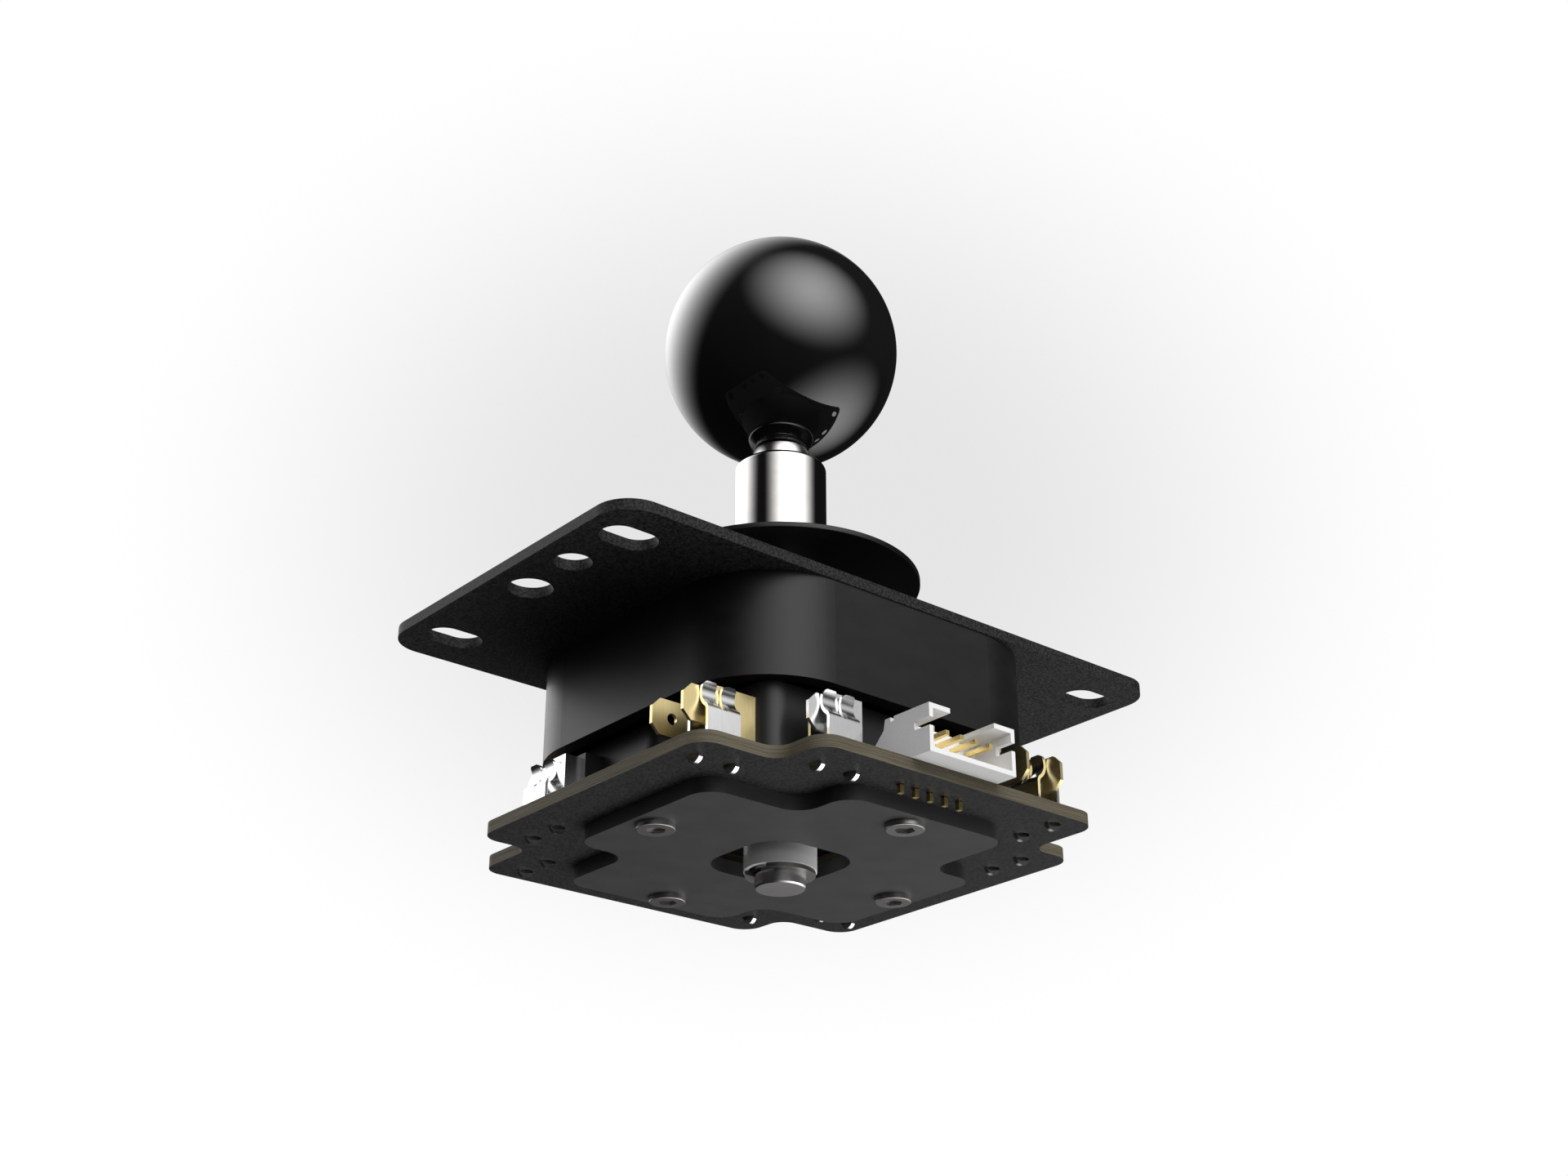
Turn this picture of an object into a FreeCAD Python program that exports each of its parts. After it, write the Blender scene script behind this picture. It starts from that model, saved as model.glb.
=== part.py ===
import FreeCAD
import Part
import Sketcher
import math
import os

# Arcade stick seen from below: a ball top on a steel shaft that tilts in a ball socket,
# four lever switches pressed by the foot of the shaft, a circuit board clipped to the
# switch tabs, a square gate under it and a steel plate that bolts under a control panel.
# The origin is on the shaft axis at the top face of the plate, +Z points to the ball,
# X runs along the long side of the plate.

App = FreeCAD
V = App.Vector
doc = App.newDocument("ArcadeStick")
sheet = doc.addObject("Spreadsheet::Sheet", "Sizes")


class Size:
    """A length that carries its value together with the expression that binds it."""

    def __init__(self, value, text):
        self.value = float(value)
        self.text = text

    def __add__(self, other):
        other = as_size(other)
        return Size(self.value + other.value, "(%s + %s)" % (self.text, other.text))

    def __sub__(self, other):
        other = as_size(other)
        return Size(self.value - other.value, "(%s - %s)" % (self.text, other.text))

    def __mul__(self, other):
        other = as_size(other)
        return Size(self.value * other.value, "(%s * %s)" % (self.text, other.text))

    def __truediv__(self, other):
        other = as_size(other)
        return Size(self.value / other.value, "(%s / %s)" % (self.text, other.text))

    def __neg__(self):
        return Size(-self.value, "(0 - %s)" % self.text)

    def __radd__(self, other):
        return as_size(other) + self

    def __rsub__(self, other):
        return as_size(other) - self

    def __rmul__(self, other):
        return as_size(other) * self


def as_size(number):
    if isinstance(number, Size):
        return number
    return Size(number, "%.6g" % number)


def sine(angle):
    """Sine of an angle that the sheet holds in degrees."""
    return Size(math.sin(math.radians(angle.value)), "sin(%s * 1 deg)" % angle.text)


def cosine(angle):
    return Size(math.cos(math.radians(angle.value)), "cos(%s * 1 deg)" % angle.text)


def root(area):
    return Size(math.sqrt(area.value), "sqrt(%s)" % area.text)


rows = []


def size(name, number):
    """Puts one driving dimension in the sheet and reads it back."""
    rows.append(name)
    line = len(rows)
    sheet.set("A%d" % line, name)
    sheet.set("B%d" % line, "%.6g" % number)
    sheet.setAlias("B%d" % line, name)
    sheet.recompute()
    return Size(sheet.get(name), "Sizes." + name)


# Mounting plate
plate_long = size("plate_long", 95.3)
plate_side_gap = size("plate_side_gap", 0.2)
plate_thick = size("plate_thick", 1.5)
plate_corner = size("plate_corner", 5)
plate_opening = size("plate_opening", 20)
slot_end_inset = size("slot_end_inset", 6.55)
slot_side_inset = size("slot_side_inset", 7.5)
slot_length = size("slot_length", 8)
slot_width = size("slot_width", 5.2)
wire_hole_inset = size("wire_hole_inset", 5.45)
wire_hole_bore = size("wire_hole_bore", 6)
ground_hole_inset = size("ground_hole_inset", 5.15)
ground_hole_shift = size("ground_hole_shift", 10)
ground_hole_bore = size("ground_hole_bore", 5)
# Countersunk screws that hold the housing to the plate
fixing_inset = size("fixing_inset", 7.5)
fixing_shank = size("fixing_shank", 2.9)
fixing_head = size("fixing_head", 5.4)
fixing_length = size("fixing_length", 9)
fixing_drive = size("fixing_drive", 2)
fixing_drive_depth = size("fixing_drive_depth", 0.9)
thread_gap = size("thread_gap", 0.02)
head_sink = size("head_sink", 0.05)
# Housing
housing_half = size("housing_half", 27.3)
housing_corner = size("housing_corner", 13.6)
housing_deep = size("housing_deep", 14.4)
housing_wall = size("housing_wall", 2.2)
housing_floor = size("housing_floor", 2.4)
rim_recess = size("rim_recess", 1.5)
rib_thick = size("rib_thick", 1.6)
rib_drop = size("rib_drop", 2.5)
rib_root = size("rib_root", 1)
fixing_boss = size("fixing_boss", 6.6)
boss_wall = size("boss_wall", 2.65)
boss_top_gap = size("boss_top_gap", 2)
pad_width = size("pad_width", 4)
peg_length = size("peg_length", 3)
# Ball pivot and its socket
pivot_level = size("pivot_level", 5)
pivot_radius = size("pivot_radius", 7.5)
pivot_rise = size("pivot_rise", 4)
pivot_drop = size("pivot_drop", 4.8)
socket_gap = size("socket_gap", 0.05)
socket_mouth = size("socket_mouth", 5.5)
seat_drop = size("seat_drop", 6)
running_gap = size("running_gap", 0.05)
# Shaft
shaft_radius = size("shaft_radius", 3.5)
neck_radius = size("neck_radius", 4.08)
stud_radius = size("stud_radius", 3)
stud_length = size("stud_length", 11)
shaft_foot = size("shaft_foot", 33.55)
shaft_chamfer = size("shaft_chamfer", 0.2)
groove_radius = size("groove_radius", 2.8)
# Ball top
ball_radius = size("ball_radius", 17.5)
ball_level = size("ball_level", 50.16)
ball_flat = size("ball_flat", 4.3)
# Collar and dust washer
collar_radius = size("collar_radius", 6.69)
collar_top = size("collar_top", 30.4)
collar_round = size("collar_round", 0.7)
washer_radius = size("washer_radius", 20)
washer_bore = size("washer_bore", 7)
washer_thick = size("washer_thick", 0.8)
washer_level = size("washer_level", 11.04)
# Spring washer and centring spring
cup_radius = size("cup_radius", 7)
cup_bore = size("cup_bore", 4.9)
cup_thick = size("cup_thick", 0.8)
cup_side_gap = size("cup_side_gap", 0.3)
spring_radius = size("spring_radius", 5.55)
spring_wire = size("spring_wire", 0.9)
spring_turns = size("spring_turns", 3)
# Actuator on the foot of the shaft
foot_radius = size("foot_radius", 5)
foot_bottom = size("foot_bottom", 31.15)
foot_flange = size("foot_flange", 6.2)
flange_top = size("flange_top", 16.6)
flange_thick = size("flange_thick", 1)
lip_width = size("lip_width", 0.55)
lip_depth = size("lip_depth", 1)
# Retaining clip on the shaft
ring_radius = size("ring_radius", 4.8)
ring_bore = size("ring_bore", 3.5)
ring_thick = size("ring_thick", 0.55)
ring_mouth = size("ring_mouth", 4.4)
ring_tooth = size("ring_tooth", 1.6)
ring_tooth_root = size("ring_tooth_root", 0.4)
# Circuit board
board_half = size("board_half", 34.1)
board_thick = size("board_thick", 1.66)
board_bottom = size("board_bottom", 27.86)
board_notch_near = size("board_notch_near", 22)
board_notch_far = size("board_notch_far", 26)
board_lobe = size("board_lobe", 3)
board_notch_round = size("board_notch_round", 2.6)
board_window = size("board_window", 9.6)
lead_hole = size("lead_hole", 1.3)
# Gate
gate_half = size("gate_half", 26.2)
gate_thick = size("gate_thick", 2)
gate_notch_near = size("gate_notch_near", 11)
gate_notch_far = size("gate_notch_far", 17.3)
gate_round = size("gate_round", 3.5)
gate_window = size("gate_window", 8.2)
window_round = size("window_round", 5.2)
# Gate screws
gate_screw_inset = size("gate_screw_inset", 3.65)
gate_screw_side = size("gate_screw_side", 2)
gate_screw_shank = size("gate_screw_shank", 3)
gate_screw_head = size("gate_screw_head", 5.2)
gate_head_thick = size("gate_head_thick", 0.75)
gate_head_edge = size("gate_head_edge", 0.12)
hex_width = size("hex_width", 2.4)
hex_depth = size("hex_depth", 0.5)
hole_gap = size("hole_gap", 0.1)
# Switches, given for the one on the -Y side
case_near = size("case_near", 8.9)
case_far = size("case_far", 23.5)
case_tail = size("case_tail", 21.65)
case_nose = size("case_nose", 3.6)
case_round = size("case_round", 2.9)
case_small_round = size("case_small_round", 0.8)
case_hole = size("case_hole", 3.1)
case_hole_inset = size("case_hole_inset", 2.9)
peg_gap = size("peg_gap", 0.05)
tab_boss_long = size("tab_boss_long", 2.6)
tab_boss_reach = size("tab_boss_reach", 2.5)
hinge_arm = size("hinge_arm", 12)
hinge_set = size("hinge_set", 6.85)
hinge_pin = size("hinge_pin", 0.5)
knuckle_radius = size("knuckle_radius", 0.85)
cheek_thick = size("cheek_thick", 0.8)
cheek_gap = size("cheek_gap", 0.35)
leaf_gap = size("leaf_gap", 0.85)
leaf_thick = size("leaf_thick", 0.3)
leaf_width = size("leaf_width", 3.5)
leaf_nose = size("leaf_nose", 3.2)
button_arm = size("button_arm", 5)
button_radius = size("button_radius", 0.8)
button_gap = size("button_gap", 0.45)
button_depth = size("button_depth", 2.5)
button_well = size("button_well", 3.9)
# Switch tabs
tab_width = size("tab_width", 4.8)
tab_thick = size("tab_thick", 0.5)
tab_level = size("tab_level", 21)
tab_shoulder = size("tab_shoulder", 0.7)
tab_end_inset = size("tab_end_inset", 1.15)
tab_chamfer = size("tab_chamfer", 1.2)
free_tab_reach = size("free_tab_reach", 14.5)
clip_tab_reach = size("clip_tab_reach", 20.8)
tab_hole = size("tab_hole", 1.5)
tab_hole_inset = size("tab_hole_inset", 3.1)
common_gap = size("common_gap", 4.75)
common_end = size("common_end", 19.3)
common_bend = size("common_bend", 10.75)
# Spring clips soldered to the board
clip_length = size("clip_length", 5.1)
clip_half = size("clip_half", 2)
clip_sheet = size("clip_sheet", 0.45)
clip_shoulder = size("clip_shoulder", 4.2)
clip_height = size("clip_height", 8)
clip_angle = size("clip_angle", 56)
clip_tight = size("clip_tight", 0.76)
clip_grip = size("clip_grip", 0.02)
clip_slit = size("clip_slit", 0.95)
clip_slit_rise = size("clip_slit_rise", 0.24)
clip_round = size("clip_round", 0.5)
clip_common_mid = size("clip_common_mid", 14.95)
clip_end_inset = size("clip_end_inset", 6.15)
lead_pitch = size("lead_pitch", 5.64)
lead_radius = size("lead_radius", 0.45)
solder_radius = size("solder_radius", 1.05)
lead_foot = size("lead_foot", 1.3)
# Connector on the board
plug_wide = size("plug_wide", 14.9)
plug_overhang = size("plug_overhang", 3.3)
plug_top = size("plug_top", 6.4)
plug_wall = size("plug_wall", 0.65)
plug_long = size("plug_long", 8)
plug_heel_long = size("plug_heel_long", 1.9)
plug_step_low = size("plug_step_low", 3)
plug_step_high = size("plug_step_high", 1.38)
plug_step_run = size("plug_step_run", 0.3)
plug_back_wall = size("plug_back_wall", 1)
plug_notch = size("plug_notch", 0.6)
plug_notch_from = size("plug_notch_from", 6.4)
plug_window = size("plug_window", 7.7)
plug_slot_depth = size("plug_slot_depth", 2.7)
plug_slot_high = size("plug_slot_high", 1.15)
plug_slot_level = size("plug_slot_level", 3.4)
pin_width = size("pin_width", 0.64)
pin_spacing = size("pin_spacing", 2.54)
pin_level = size("pin_level", 4.1)
pin_tip_inset = size("pin_tip_inset", 1.9)
pin_drop_from = size("pin_drop_from", 8)
pin_foot = size("pin_foot", 29.05)
pin_hole = size("pin_hole", 1)

CUT_MARGIN = 1.0
TURNS = 4
PIN_COUNT = 5
MIDDLE_PIN = (PIN_COUNT - 1) // 2
RING_TEETH = 3


# Helpers for bodies and sketches

def origin_part(body, role):
    for item in body.Origin.OriginFeatures:
        if item.Role == role:
            return item
    raise ValueError(role)


def new_body(name):
    body = doc.addObject("PartDesign::Body", name)
    body.Label = name
    body.AllowCompound = True
    return body


def bind(item, place, amount):
    """Binds a property or a constraint to the sheet."""
    item.setExpression(place, as_size(amount).text)


def new_sketch(body, name, role, level=None):
    """A sketch on one of the body's own planes, moved along the plane's normal by level."""
    sketch = body.newObject("Sketcher::SketchObject", name)
    sketch.AttachmentSupport = (origin_part(body, role), [""])
    sketch.MapMode = "FlatFace"
    if level is not None:
        bind(sketch, "AttachmentOffset.Base.z", level)
    return sketch


def pin_coordinate(sketch, kind, element, point, place):
    """Holds one coordinate of a point of the sketch at its distance from the origin."""
    place = as_size(place)
    if abs(place.value) < 1e-9:
        axis = -2 if kind == "DistanceX" else -1
        sketch.addConstraint(Sketcher.Constraint("PointOnObject", element, point, axis))
        return
    if place.value > 0:
        number = sketch.addConstraint(
            Sketcher.Constraint(kind, -1, 1, element, point, place.value))
        bind(sketch, "Constraints[%d]" % number, place)
        return
    number = sketch.addConstraint(
        Sketcher.Constraint(kind, element, point, -1, 1, -place.value))
    bind(sketch, "Constraints[%d]" % number, -place)


def pin_point(sketch, element, point, x, y):
    pin_coordinate(sketch, "DistanceX", element, point, x)
    pin_coordinate(sketch, "DistanceY", element, point, y)


def circle(sketch, x, y, radius):
    x = as_size(x)
    y = as_size(y)
    radius = as_size(radius)
    shape = Part.Circle(V(x.value, y.value, 0), V(0, 0, 1), radius.value)
    element = sketch.addGeometry(shape, False)
    pin_point(sketch, element, 3, x, y)
    number = sketch.addConstraint(Sketcher.Constraint("Radius", element, radius.value))
    bind(sketch, "Constraints[%d]" % number, radius)


def arc_between(start, end, centre, leftward):
    """An arc from start to end about centre, turning left when leftward is true."""
    radius = start.distanceToPoint(centre)
    first = math.atan2(start.y - centre.y, start.x - centre.x)
    last = math.atan2(end.y - centre.y, end.x - centre.x)
    round_it = Part.Circle(centre, V(0, 0, 1), radius)
    if leftward:
        return Part.ArcOfCircle(round_it, first, last if last > first else last + 2 * math.pi)
    return Part.ArcOfCircle(round_it, last, first if first > last else first + 2 * math.pi)


def outline(sketch, corners):
    """A closed outline. A corner is (x, y), or (x, y, (cx, cy, radius, leftward)) when an arc
    about (cx, cy) leads from the corner before it to this one."""
    spots = [V(as_size(c[0]).value, as_size(c[1]).value, 0) for c in corners]
    ends = []
    for index, corner in enumerate(corners):
        start = spots[index - 1]
        end = spots[index]
        if len(corner) == 2:
            element = sketch.addGeometry(Part.LineSegment(start, end), False)
            ends.append((element, 1, 2))
            continue
        x, y, radius, leftward = corner[2]
        middle = V(as_size(x).value, as_size(y).value, 0)
        element = sketch.addGeometry(arc_between(start, end, middle, leftward), False)
        ends.append((element, 1, 2) if leftward else (element, 2, 1))
        if abs(start.distanceToPoint(end) - 2 * start.distanceToPoint(middle)) < 1e-6:
            # Half a turn: the centre's place is held instead of the radius.
            if abs(start.x - end.x) < 1e-6:
                pin_coordinate(sketch, "DistanceX", element, 3, x)
            else:
                pin_coordinate(sketch, "DistanceY", element, 3, y)
            continue
        number = sketch.addConstraint(
            Sketcher.Constraint("Radius", element, as_size(radius).value))
        bind(sketch, "Constraints[%d]" % number, radius)
    for index, corner in enumerate(corners):
        here = ends[index]
        after = ends[(index + 1) % len(corners)]
        sketch.addConstraint(
            Sketcher.Constraint("Coincident", here[0], here[2], after[0], after[1]))
        pin_point(sketch, here[0], here[2], corner[0], corner[1])


def rectangle(sketch, left, right, low, high):
    outline(sketch, [(right, low), (right, high), (left, high), (left, low)])


def pad(body, name, sketch, length, reverse=False):
    feature = body.newObject("PartDesign::Pad", name)
    feature.Profile = sketch
    bind(feature, "Length", length)
    feature.Reversed = reverse
    return feature


def pocket(body, name, sketch, depth, reverse=False):
    feature = body.newObject("PartDesign::Pocket", name)
    feature.Profile = sketch
    bind(feature, "Length", depth)
    feature.Reversed = reverse
    return feature


def revolve(body, name, sketch):
    feature = body.newObject("PartDesign::Revolution", name)
    feature.Profile = sketch
    feature.ReferenceAxis = (sketch, ["V_Axis"])
    feature.Angle = 360
    return feature


def groove(body, name, sketch):
    feature = body.newObject("PartDesign::Groove", name)
    feature.Profile = sketch
    feature.ReferenceAxis = (sketch, ["V_Axis"])
    feature.Angle = 360
    return feature


def four_times(body, name, features):
    """Repeats features at the four quarter turns about the shaft axis."""
    pattern = body.newObject("PartDesign::PolarPattern", name)
    pattern.Originals = features
    pattern.Axis = (origin_part(body, "Z_Axis"), [""])
    pattern.Angle = 360
    pattern.Occurrences = TURNS
    body.Tip = pattern
    return pattern


def edges_of(feature, wanted):
    """Names of the edges of a feature for which wanted(edge) is true."""
    doc.recompute()
    names = []
    for index, edge in enumerate(feature.Shape.Edges):
        if wanted(edge):
            names.append("Edge%d" % (index + 1))
    return names


def round_edges(body, name, feature, wanted, radius):
    names = edges_of(feature, wanted)
    fillet = body.newObject("PartDesign::Fillet", name)
    fillet.Base = (feature, names)
    bind(fillet, "Radius", radius)
    body.Tip = fillet
    return fillet


def bevel_edges(body, name, feature, wanted, width):
    names = edges_of(feature, wanted)
    chamfer = body.newObject("PartDesign::Chamfer", name)
    chamfer.Base = (feature, names)
    bind(chamfer, "Size", width)
    body.Tip = chamfer
    return chamfer


def straight(edge):
    return len(edge.Vertexes) == 2 and isinstance(edge.Curve, Part.Line)


def upright(edge):
    """True for a straight edge along Z."""
    if not straight(edge):
        return False
    step = edge.Vertexes[1].Point - edge.Vertexes[0].Point
    return abs(step.x) < 1e-6 and abs(step.y) < 1e-6


def at_corner(edge, corners):
    """True when the middle of the edge lies over one of the corners."""
    middle = edge.CenterOfMass
    for x, y in corners:
        if abs(middle.x - x) < 1e-4 and abs(middle.y - y) < 1e-4:
            return True
    return False


def turned(x, y, turn):
    for _ in range(turn):
        x, y = -y, x
    return x, y


def turn_about_shaft(item, turn):
    item.Placement = App.Placement(V(0, 0, 0), App.Rotation(V(0, 0, 1), 90 * turn))


def rounded_square(sketch, half, corner):
    """A square about the origin with quarter arcs at its corners."""
    near = half - corner
    steps = [
        (half, near), (near, half, (near, near, corner, True)),
        (-near, half), (-half, near, (-near, near, corner, True)),
        (-half, -near), (-near, -half, (-near, -near, corner, True)),
        (near, -half), (half, -near, (near, -near, corner, True)),
    ]
    outline(sketch, steps)


def pinwheel(sketch, half, near, far):
    """A square whose four corners have a notch each, all turned the same way.
    The notch at the (-X, -Y) corner takes what lies beyond x = -near and y = -far."""
    steps = []
    for turn in range(TURNS):
        for x, y in ((-half, -far), (-near, -far), (-near, -half)):
            steps.append(turned(x, y, turn))
    outline(sketch, steps)


def pinwheel_corners(half, near, far, inner):
    """The corners of a pinwheel: the four inner ones, or the eight outer ones."""
    spots = []
    for turn in range(TURNS):
        if inner:
            spots.append(turned(-near.value, -far.value, turn))
        else:
            spots.append(turned(-half.value, -far.value, turn))
            spots.append(turned(-near.value, -half.value, turn))
    return spots


nodes = []


def publish(item, name):
    item.Label = name
    nodes.append((item, name))


# Levels used by more than one piece

plate_wide = (housing_half + plate_side_gap) * 2
slot_reach_long = plate_long / 2 - slot_end_inset
slot_reach_wide = plate_wide / 2 - slot_side_inset
wire_hole_reach = plate_long / 2 - wire_hole_inset
ground_hole_reach = plate_long / 2 - ground_hole_inset
fixing_reach = housing_half - fixing_inset
plate_under = -plate_thick
housing_bottom = plate_under - housing_deep
recess_level = housing_bottom + rim_recess
floor_level = recess_level + housing_floor
pivot_centre = -pivot_level
seat_level = pivot_centre - seat_drop
boss_top = plate_under - boss_top_gap
board_top = -board_bottom + board_thick
gate_bottom = -board_bottom - gate_thick
case_tall = housing_bottom - board_top
socket_radius = pivot_radius + socket_gap
socket_mouth_level = pivot_centre - root(socket_radius * socket_radius - socket_mouth * socket_mouth)
neck_foot = pivot_centre + pivot_rise
neck_top = ball_level - root(ball_radius * ball_radius - ball_flat * ball_flat)
shank_bore = shaft_radius + running_gap
boss_radius = socket_radius + boss_wall
inner_half = housing_half - housing_wall
inner_corner = housing_corner - housing_wall
tab_low = -tab_level - tab_width / 2
tab_high = -tab_level + tab_width / 2
root_low = tab_low - tab_shoulder
root_high = tab_high + tab_shoulder
gate_screw_out = gate_half - gate_screw_inset
tab_end = board_half - tab_end_inset
common_reach = case_far + common_gap
clip_contact_mid = board_half - clip_end_inset
plug_front = board_half + plug_overhang
plug_back = plug_front - plug_long
plug_heel = plug_back - plug_heel_long
plug_notch_at = plug_front - plug_notch_from
pin_tip = plug_front - pin_tip_inset
pin_drop_at = plug_front - pin_drop_from


def make_plate():
    body = new_body("mounting_plate")
    half_long = plate_long / 2
    half_wide = plate_wide / 2
    base = new_sketch(body, "plate_outline", "XY_Plane", plate_under)
    rectangle(base, -half_long, half_long, -half_wide, half_wide)
    circle(base, 0, 0, plate_opening / 2)
    slab = pad(body, "plate_slab", base, plate_thick)
    holes = new_sketch(body, "plate_holes", "XY_Plane")
    straight_half = slot_length / 2 - slot_width / 2
    end = slot_width / 2
    for side in (-1, 1):
        for edge in (-1, 1):
            x = slot_reach_long * side
            y = slot_reach_wide * edge
            outline(holes, [
                (x + straight_half, y - end),
                (x + straight_half, y + end, (x + straight_half, y, end, True)),
                (x - straight_half, y + end),
                (x - straight_half, y - end, (x - straight_half, y, end, True)),
            ])
        circle(holes, wire_hole_reach * side, 0, wire_hole_bore / 2)
        circle(holes, ground_hole_reach * side, ground_hole_shift * side, ground_hole_bore / 2)
    cut = pocket(body, "plate_cuts", holes, plate_thick + CUT_MARGIN)
    round_edges(body, "plate_corners", cut, lambda e: upright(e) and at_corner(e, [
        (a * half_long.value, b * half_wide.value) for a in (-1, 1) for b in (-1, 1)
    ]), plate_corner)
    seat = new_sketch(body, "plate_countersink", "XZ_Plane")
    shank = fixing_shank / 2 + hole_gap
    head = fixing_head / 2 + hole_gap
    outline(seat, [
        (0, plate_under - CUT_MARGIN), (shank, plate_under - CUT_MARGIN),
        (shank, -(head - shank)), (head, 0), (0, 0),
    ])
    bind(seat, "AttachmentOffset.Base.x", fixing_reach)
    bind(seat, "AttachmentOffset.Base.z", -fixing_reach)
    hole = groove(body, "plate_screw_hole", seat)
    four_times(body, "plate_screw_holes", [hole])
    publish(body, "mounting_plate")


def make_plate_screws():
    body = new_body("plate_screws")
    profile = new_sketch(body, "screw_profile", "XZ_Plane")
    shank = fixing_shank / 2
    head = fixing_head / 2
    top = -head_sink
    outline(profile, [
        (0, top - fixing_length), (shank, top - fixing_length),
        (shank, top - (head - shank)), (head, top), (0, top),
    ])
    bind(profile, "AttachmentOffset.Base.x", fixing_reach)
    bind(profile, "AttachmentOffset.Base.z", -fixing_reach)
    screw = revolve(body, "screw_turned", profile)
    drive = new_sketch(body, "screw_socket", "XY_Plane", top)
    hexagon(drive, fixing_reach, fixing_reach, fixing_drive)
    socket = pocket(body, "screw_drive", drive, fixing_drive_depth)
    four_times(body, "screw_set", [screw, socket])
    publish(body, "plate_screws")


def hexagon(sketch, x, y, across):
    """A hexagon of a given width across its flats."""
    reach = across / 2
    tip = across / root(as_size(3))
    half_tip = tip / 2
    outline(sketch, [
        (x + tip, y), (x + half_tip, y + reach), (x - half_tip, y + reach),
        (x - tip, y), (x - half_tip, y - reach), (x + half_tip, y - reach),
    ])


def make_housing():
    body = new_body("housing")
    outside = new_sketch(body, "housing_outline", "XY_Plane", housing_bottom)
    rounded_square(outside, housing_half, housing_corner)
    pad(body, "housing_block", outside, housing_deep)
    inside = new_sketch(body, "housing_tray_outline", "XY_Plane", plate_under)
    rounded_square(inside, inner_half, inner_corner)
    pocket(body, "housing_tray", inside, plate_under - floor_level)
    under = new_sketch(body, "housing_recess_outline", "XY_Plane", housing_bottom)
    rounded_square(under, inner_half, inner_corner)
    pocket(body, "housing_recess", under, rim_recess, True)
    post = new_sketch(body, "housing_boss_outline", "XY_Plane", floor_level)
    circle(post, 0, 0, boss_radius)
    pad(body, "housing_boss", post, boss_top - floor_level)
    screw_post = new_sketch(body, "housing_post_outline", "XY_Plane", floor_level)
    circle(screw_post, fixing_reach, fixing_reach, fixing_boss / 2)
    screw_boss = pad(body, "housing_post", screw_post, plate_under - floor_level)
    rib = new_sketch(body, "housing_rib_outline", "XY_Plane", floor_level)
    rectangle(rib, boss_radius - rib_root, inner_half + housing_wall / 2, -rib_thick / 2, rib_thick / 2)
    web = pad(body, "housing_rib", rib, boss_top - floor_level - rib_drop)
    rests = new_sketch(body, "housing_rest_outline", "XY_Plane", recess_level)
    for x, y in case_pegs():
        circle(rests, x, y, pad_width / 2)
    rest = pad(body, "housing_rest", rests, rim_recess, True)
    pegs = new_sketch(body, "housing_peg_outline", "XY_Plane", recess_level)
    for x, y in case_pegs():
        circle(pegs, x, y, case_hole / 2 - peg_gap)
    peg = pad(body, "housing_peg", pegs, rim_recess + peg_length, True)
    four_times(body, "housing_repeats", [screw_boss, web, rest, peg])
    bores = new_sketch(body, "housing_bore_outline", "XY_Plane", plate_under)
    circle(bores, fixing_reach, fixing_reach, fixing_shank / 2 + thread_gap)
    bore = pocket(body, "housing_bore", bores, fixing_length)
    four_times(body, "housing_bores", [bore])
    socket = new_sketch(body, "housing_socket_profile", "XZ_Plane")
    well = cup_radius + cup_side_gap
    outline(socket, [
        (0, boss_top + CUT_MARGIN),
        (0, housing_bottom - CUT_MARGIN), (well, housing_bottom - CUT_MARGIN),
        (well, seat_level), (socket_mouth, seat_level),
        (socket_mouth, socket_mouth_level),
        (socket_radius, pivot_centre, (0, pivot_centre, socket_radius, True)),
        (socket_radius, boss_top + CUT_MARGIN),
    ])
    groove(body, "housing_socket", socket)
    publish(body, "housing")


def case_pegs():
    """Where the two holes of the -Y switch lie."""
    inset = case_hole_inset
    return [
        (-case_tail + inset, -case_far + inset),
        (case_nose - inset, -case_near - inset),
    ]


def make_pivot():
    body = new_body("pivot")
    profile = new_sketch(body, "pivot_profile", "XZ_Plane")
    top = root(pivot_radius * pivot_radius - pivot_rise * pivot_rise)
    low = root(pivot_radius * pivot_radius - pivot_drop * pivot_drop)
    outline(profile, [
        (shank_bore, pivot_centre - pivot_drop),
        (low, pivot_centre - pivot_drop),
        (top, pivot_centre + pivot_rise, (0, pivot_centre, pivot_radius, True)),
        (shank_bore, pivot_centre + pivot_rise),
    ])
    revolve(body, "pivot_ball", profile)
    publish(body, "pivot")


def make_shaft():
    body = new_body("shaft")
    profile = new_sketch(body, "shaft_profile", "XZ_Plane")
    groove_low = -foot_bottom - running_gap - ring_thick
    groove_high = -foot_bottom
    outline(profile, [
        (0, -shaft_foot), (shaft_radius - shaft_chamfer, -shaft_foot),
        (shaft_radius, -shaft_foot + shaft_chamfer), (shaft_radius, groove_low),
        (groove_radius, groove_low), (groove_radius, groove_high),
        (shaft_radius, groove_high), (shaft_radius, neck_foot),
        (neck_radius, neck_foot), (neck_radius, neck_top),
        (stud_radius, neck_top), (stud_radius, neck_top + stud_length - shaft_chamfer),
        (stud_radius - shaft_chamfer, neck_top + stud_length), (0, neck_top + stud_length),
    ])
    revolve(body, "shaft_turned", profile)
    publish(body, "shaft")


def make_ball():
    body = new_body("ball_top")
    profile = new_sketch(body, "ball_profile", "XZ_Plane")
    bore = stud_radius + running_gap
    depth = neck_top + stud_length + running_gap
    outline(profile, [
        (bore, neck_top), (ball_flat, neck_top),
        (0, ball_level + ball_radius, (0, ball_level, ball_radius, True)),
        (0, depth), (bore, depth),
    ])
    revolve(body, "ball_turned", profile)
    publish(body, "ball_top")


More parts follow.
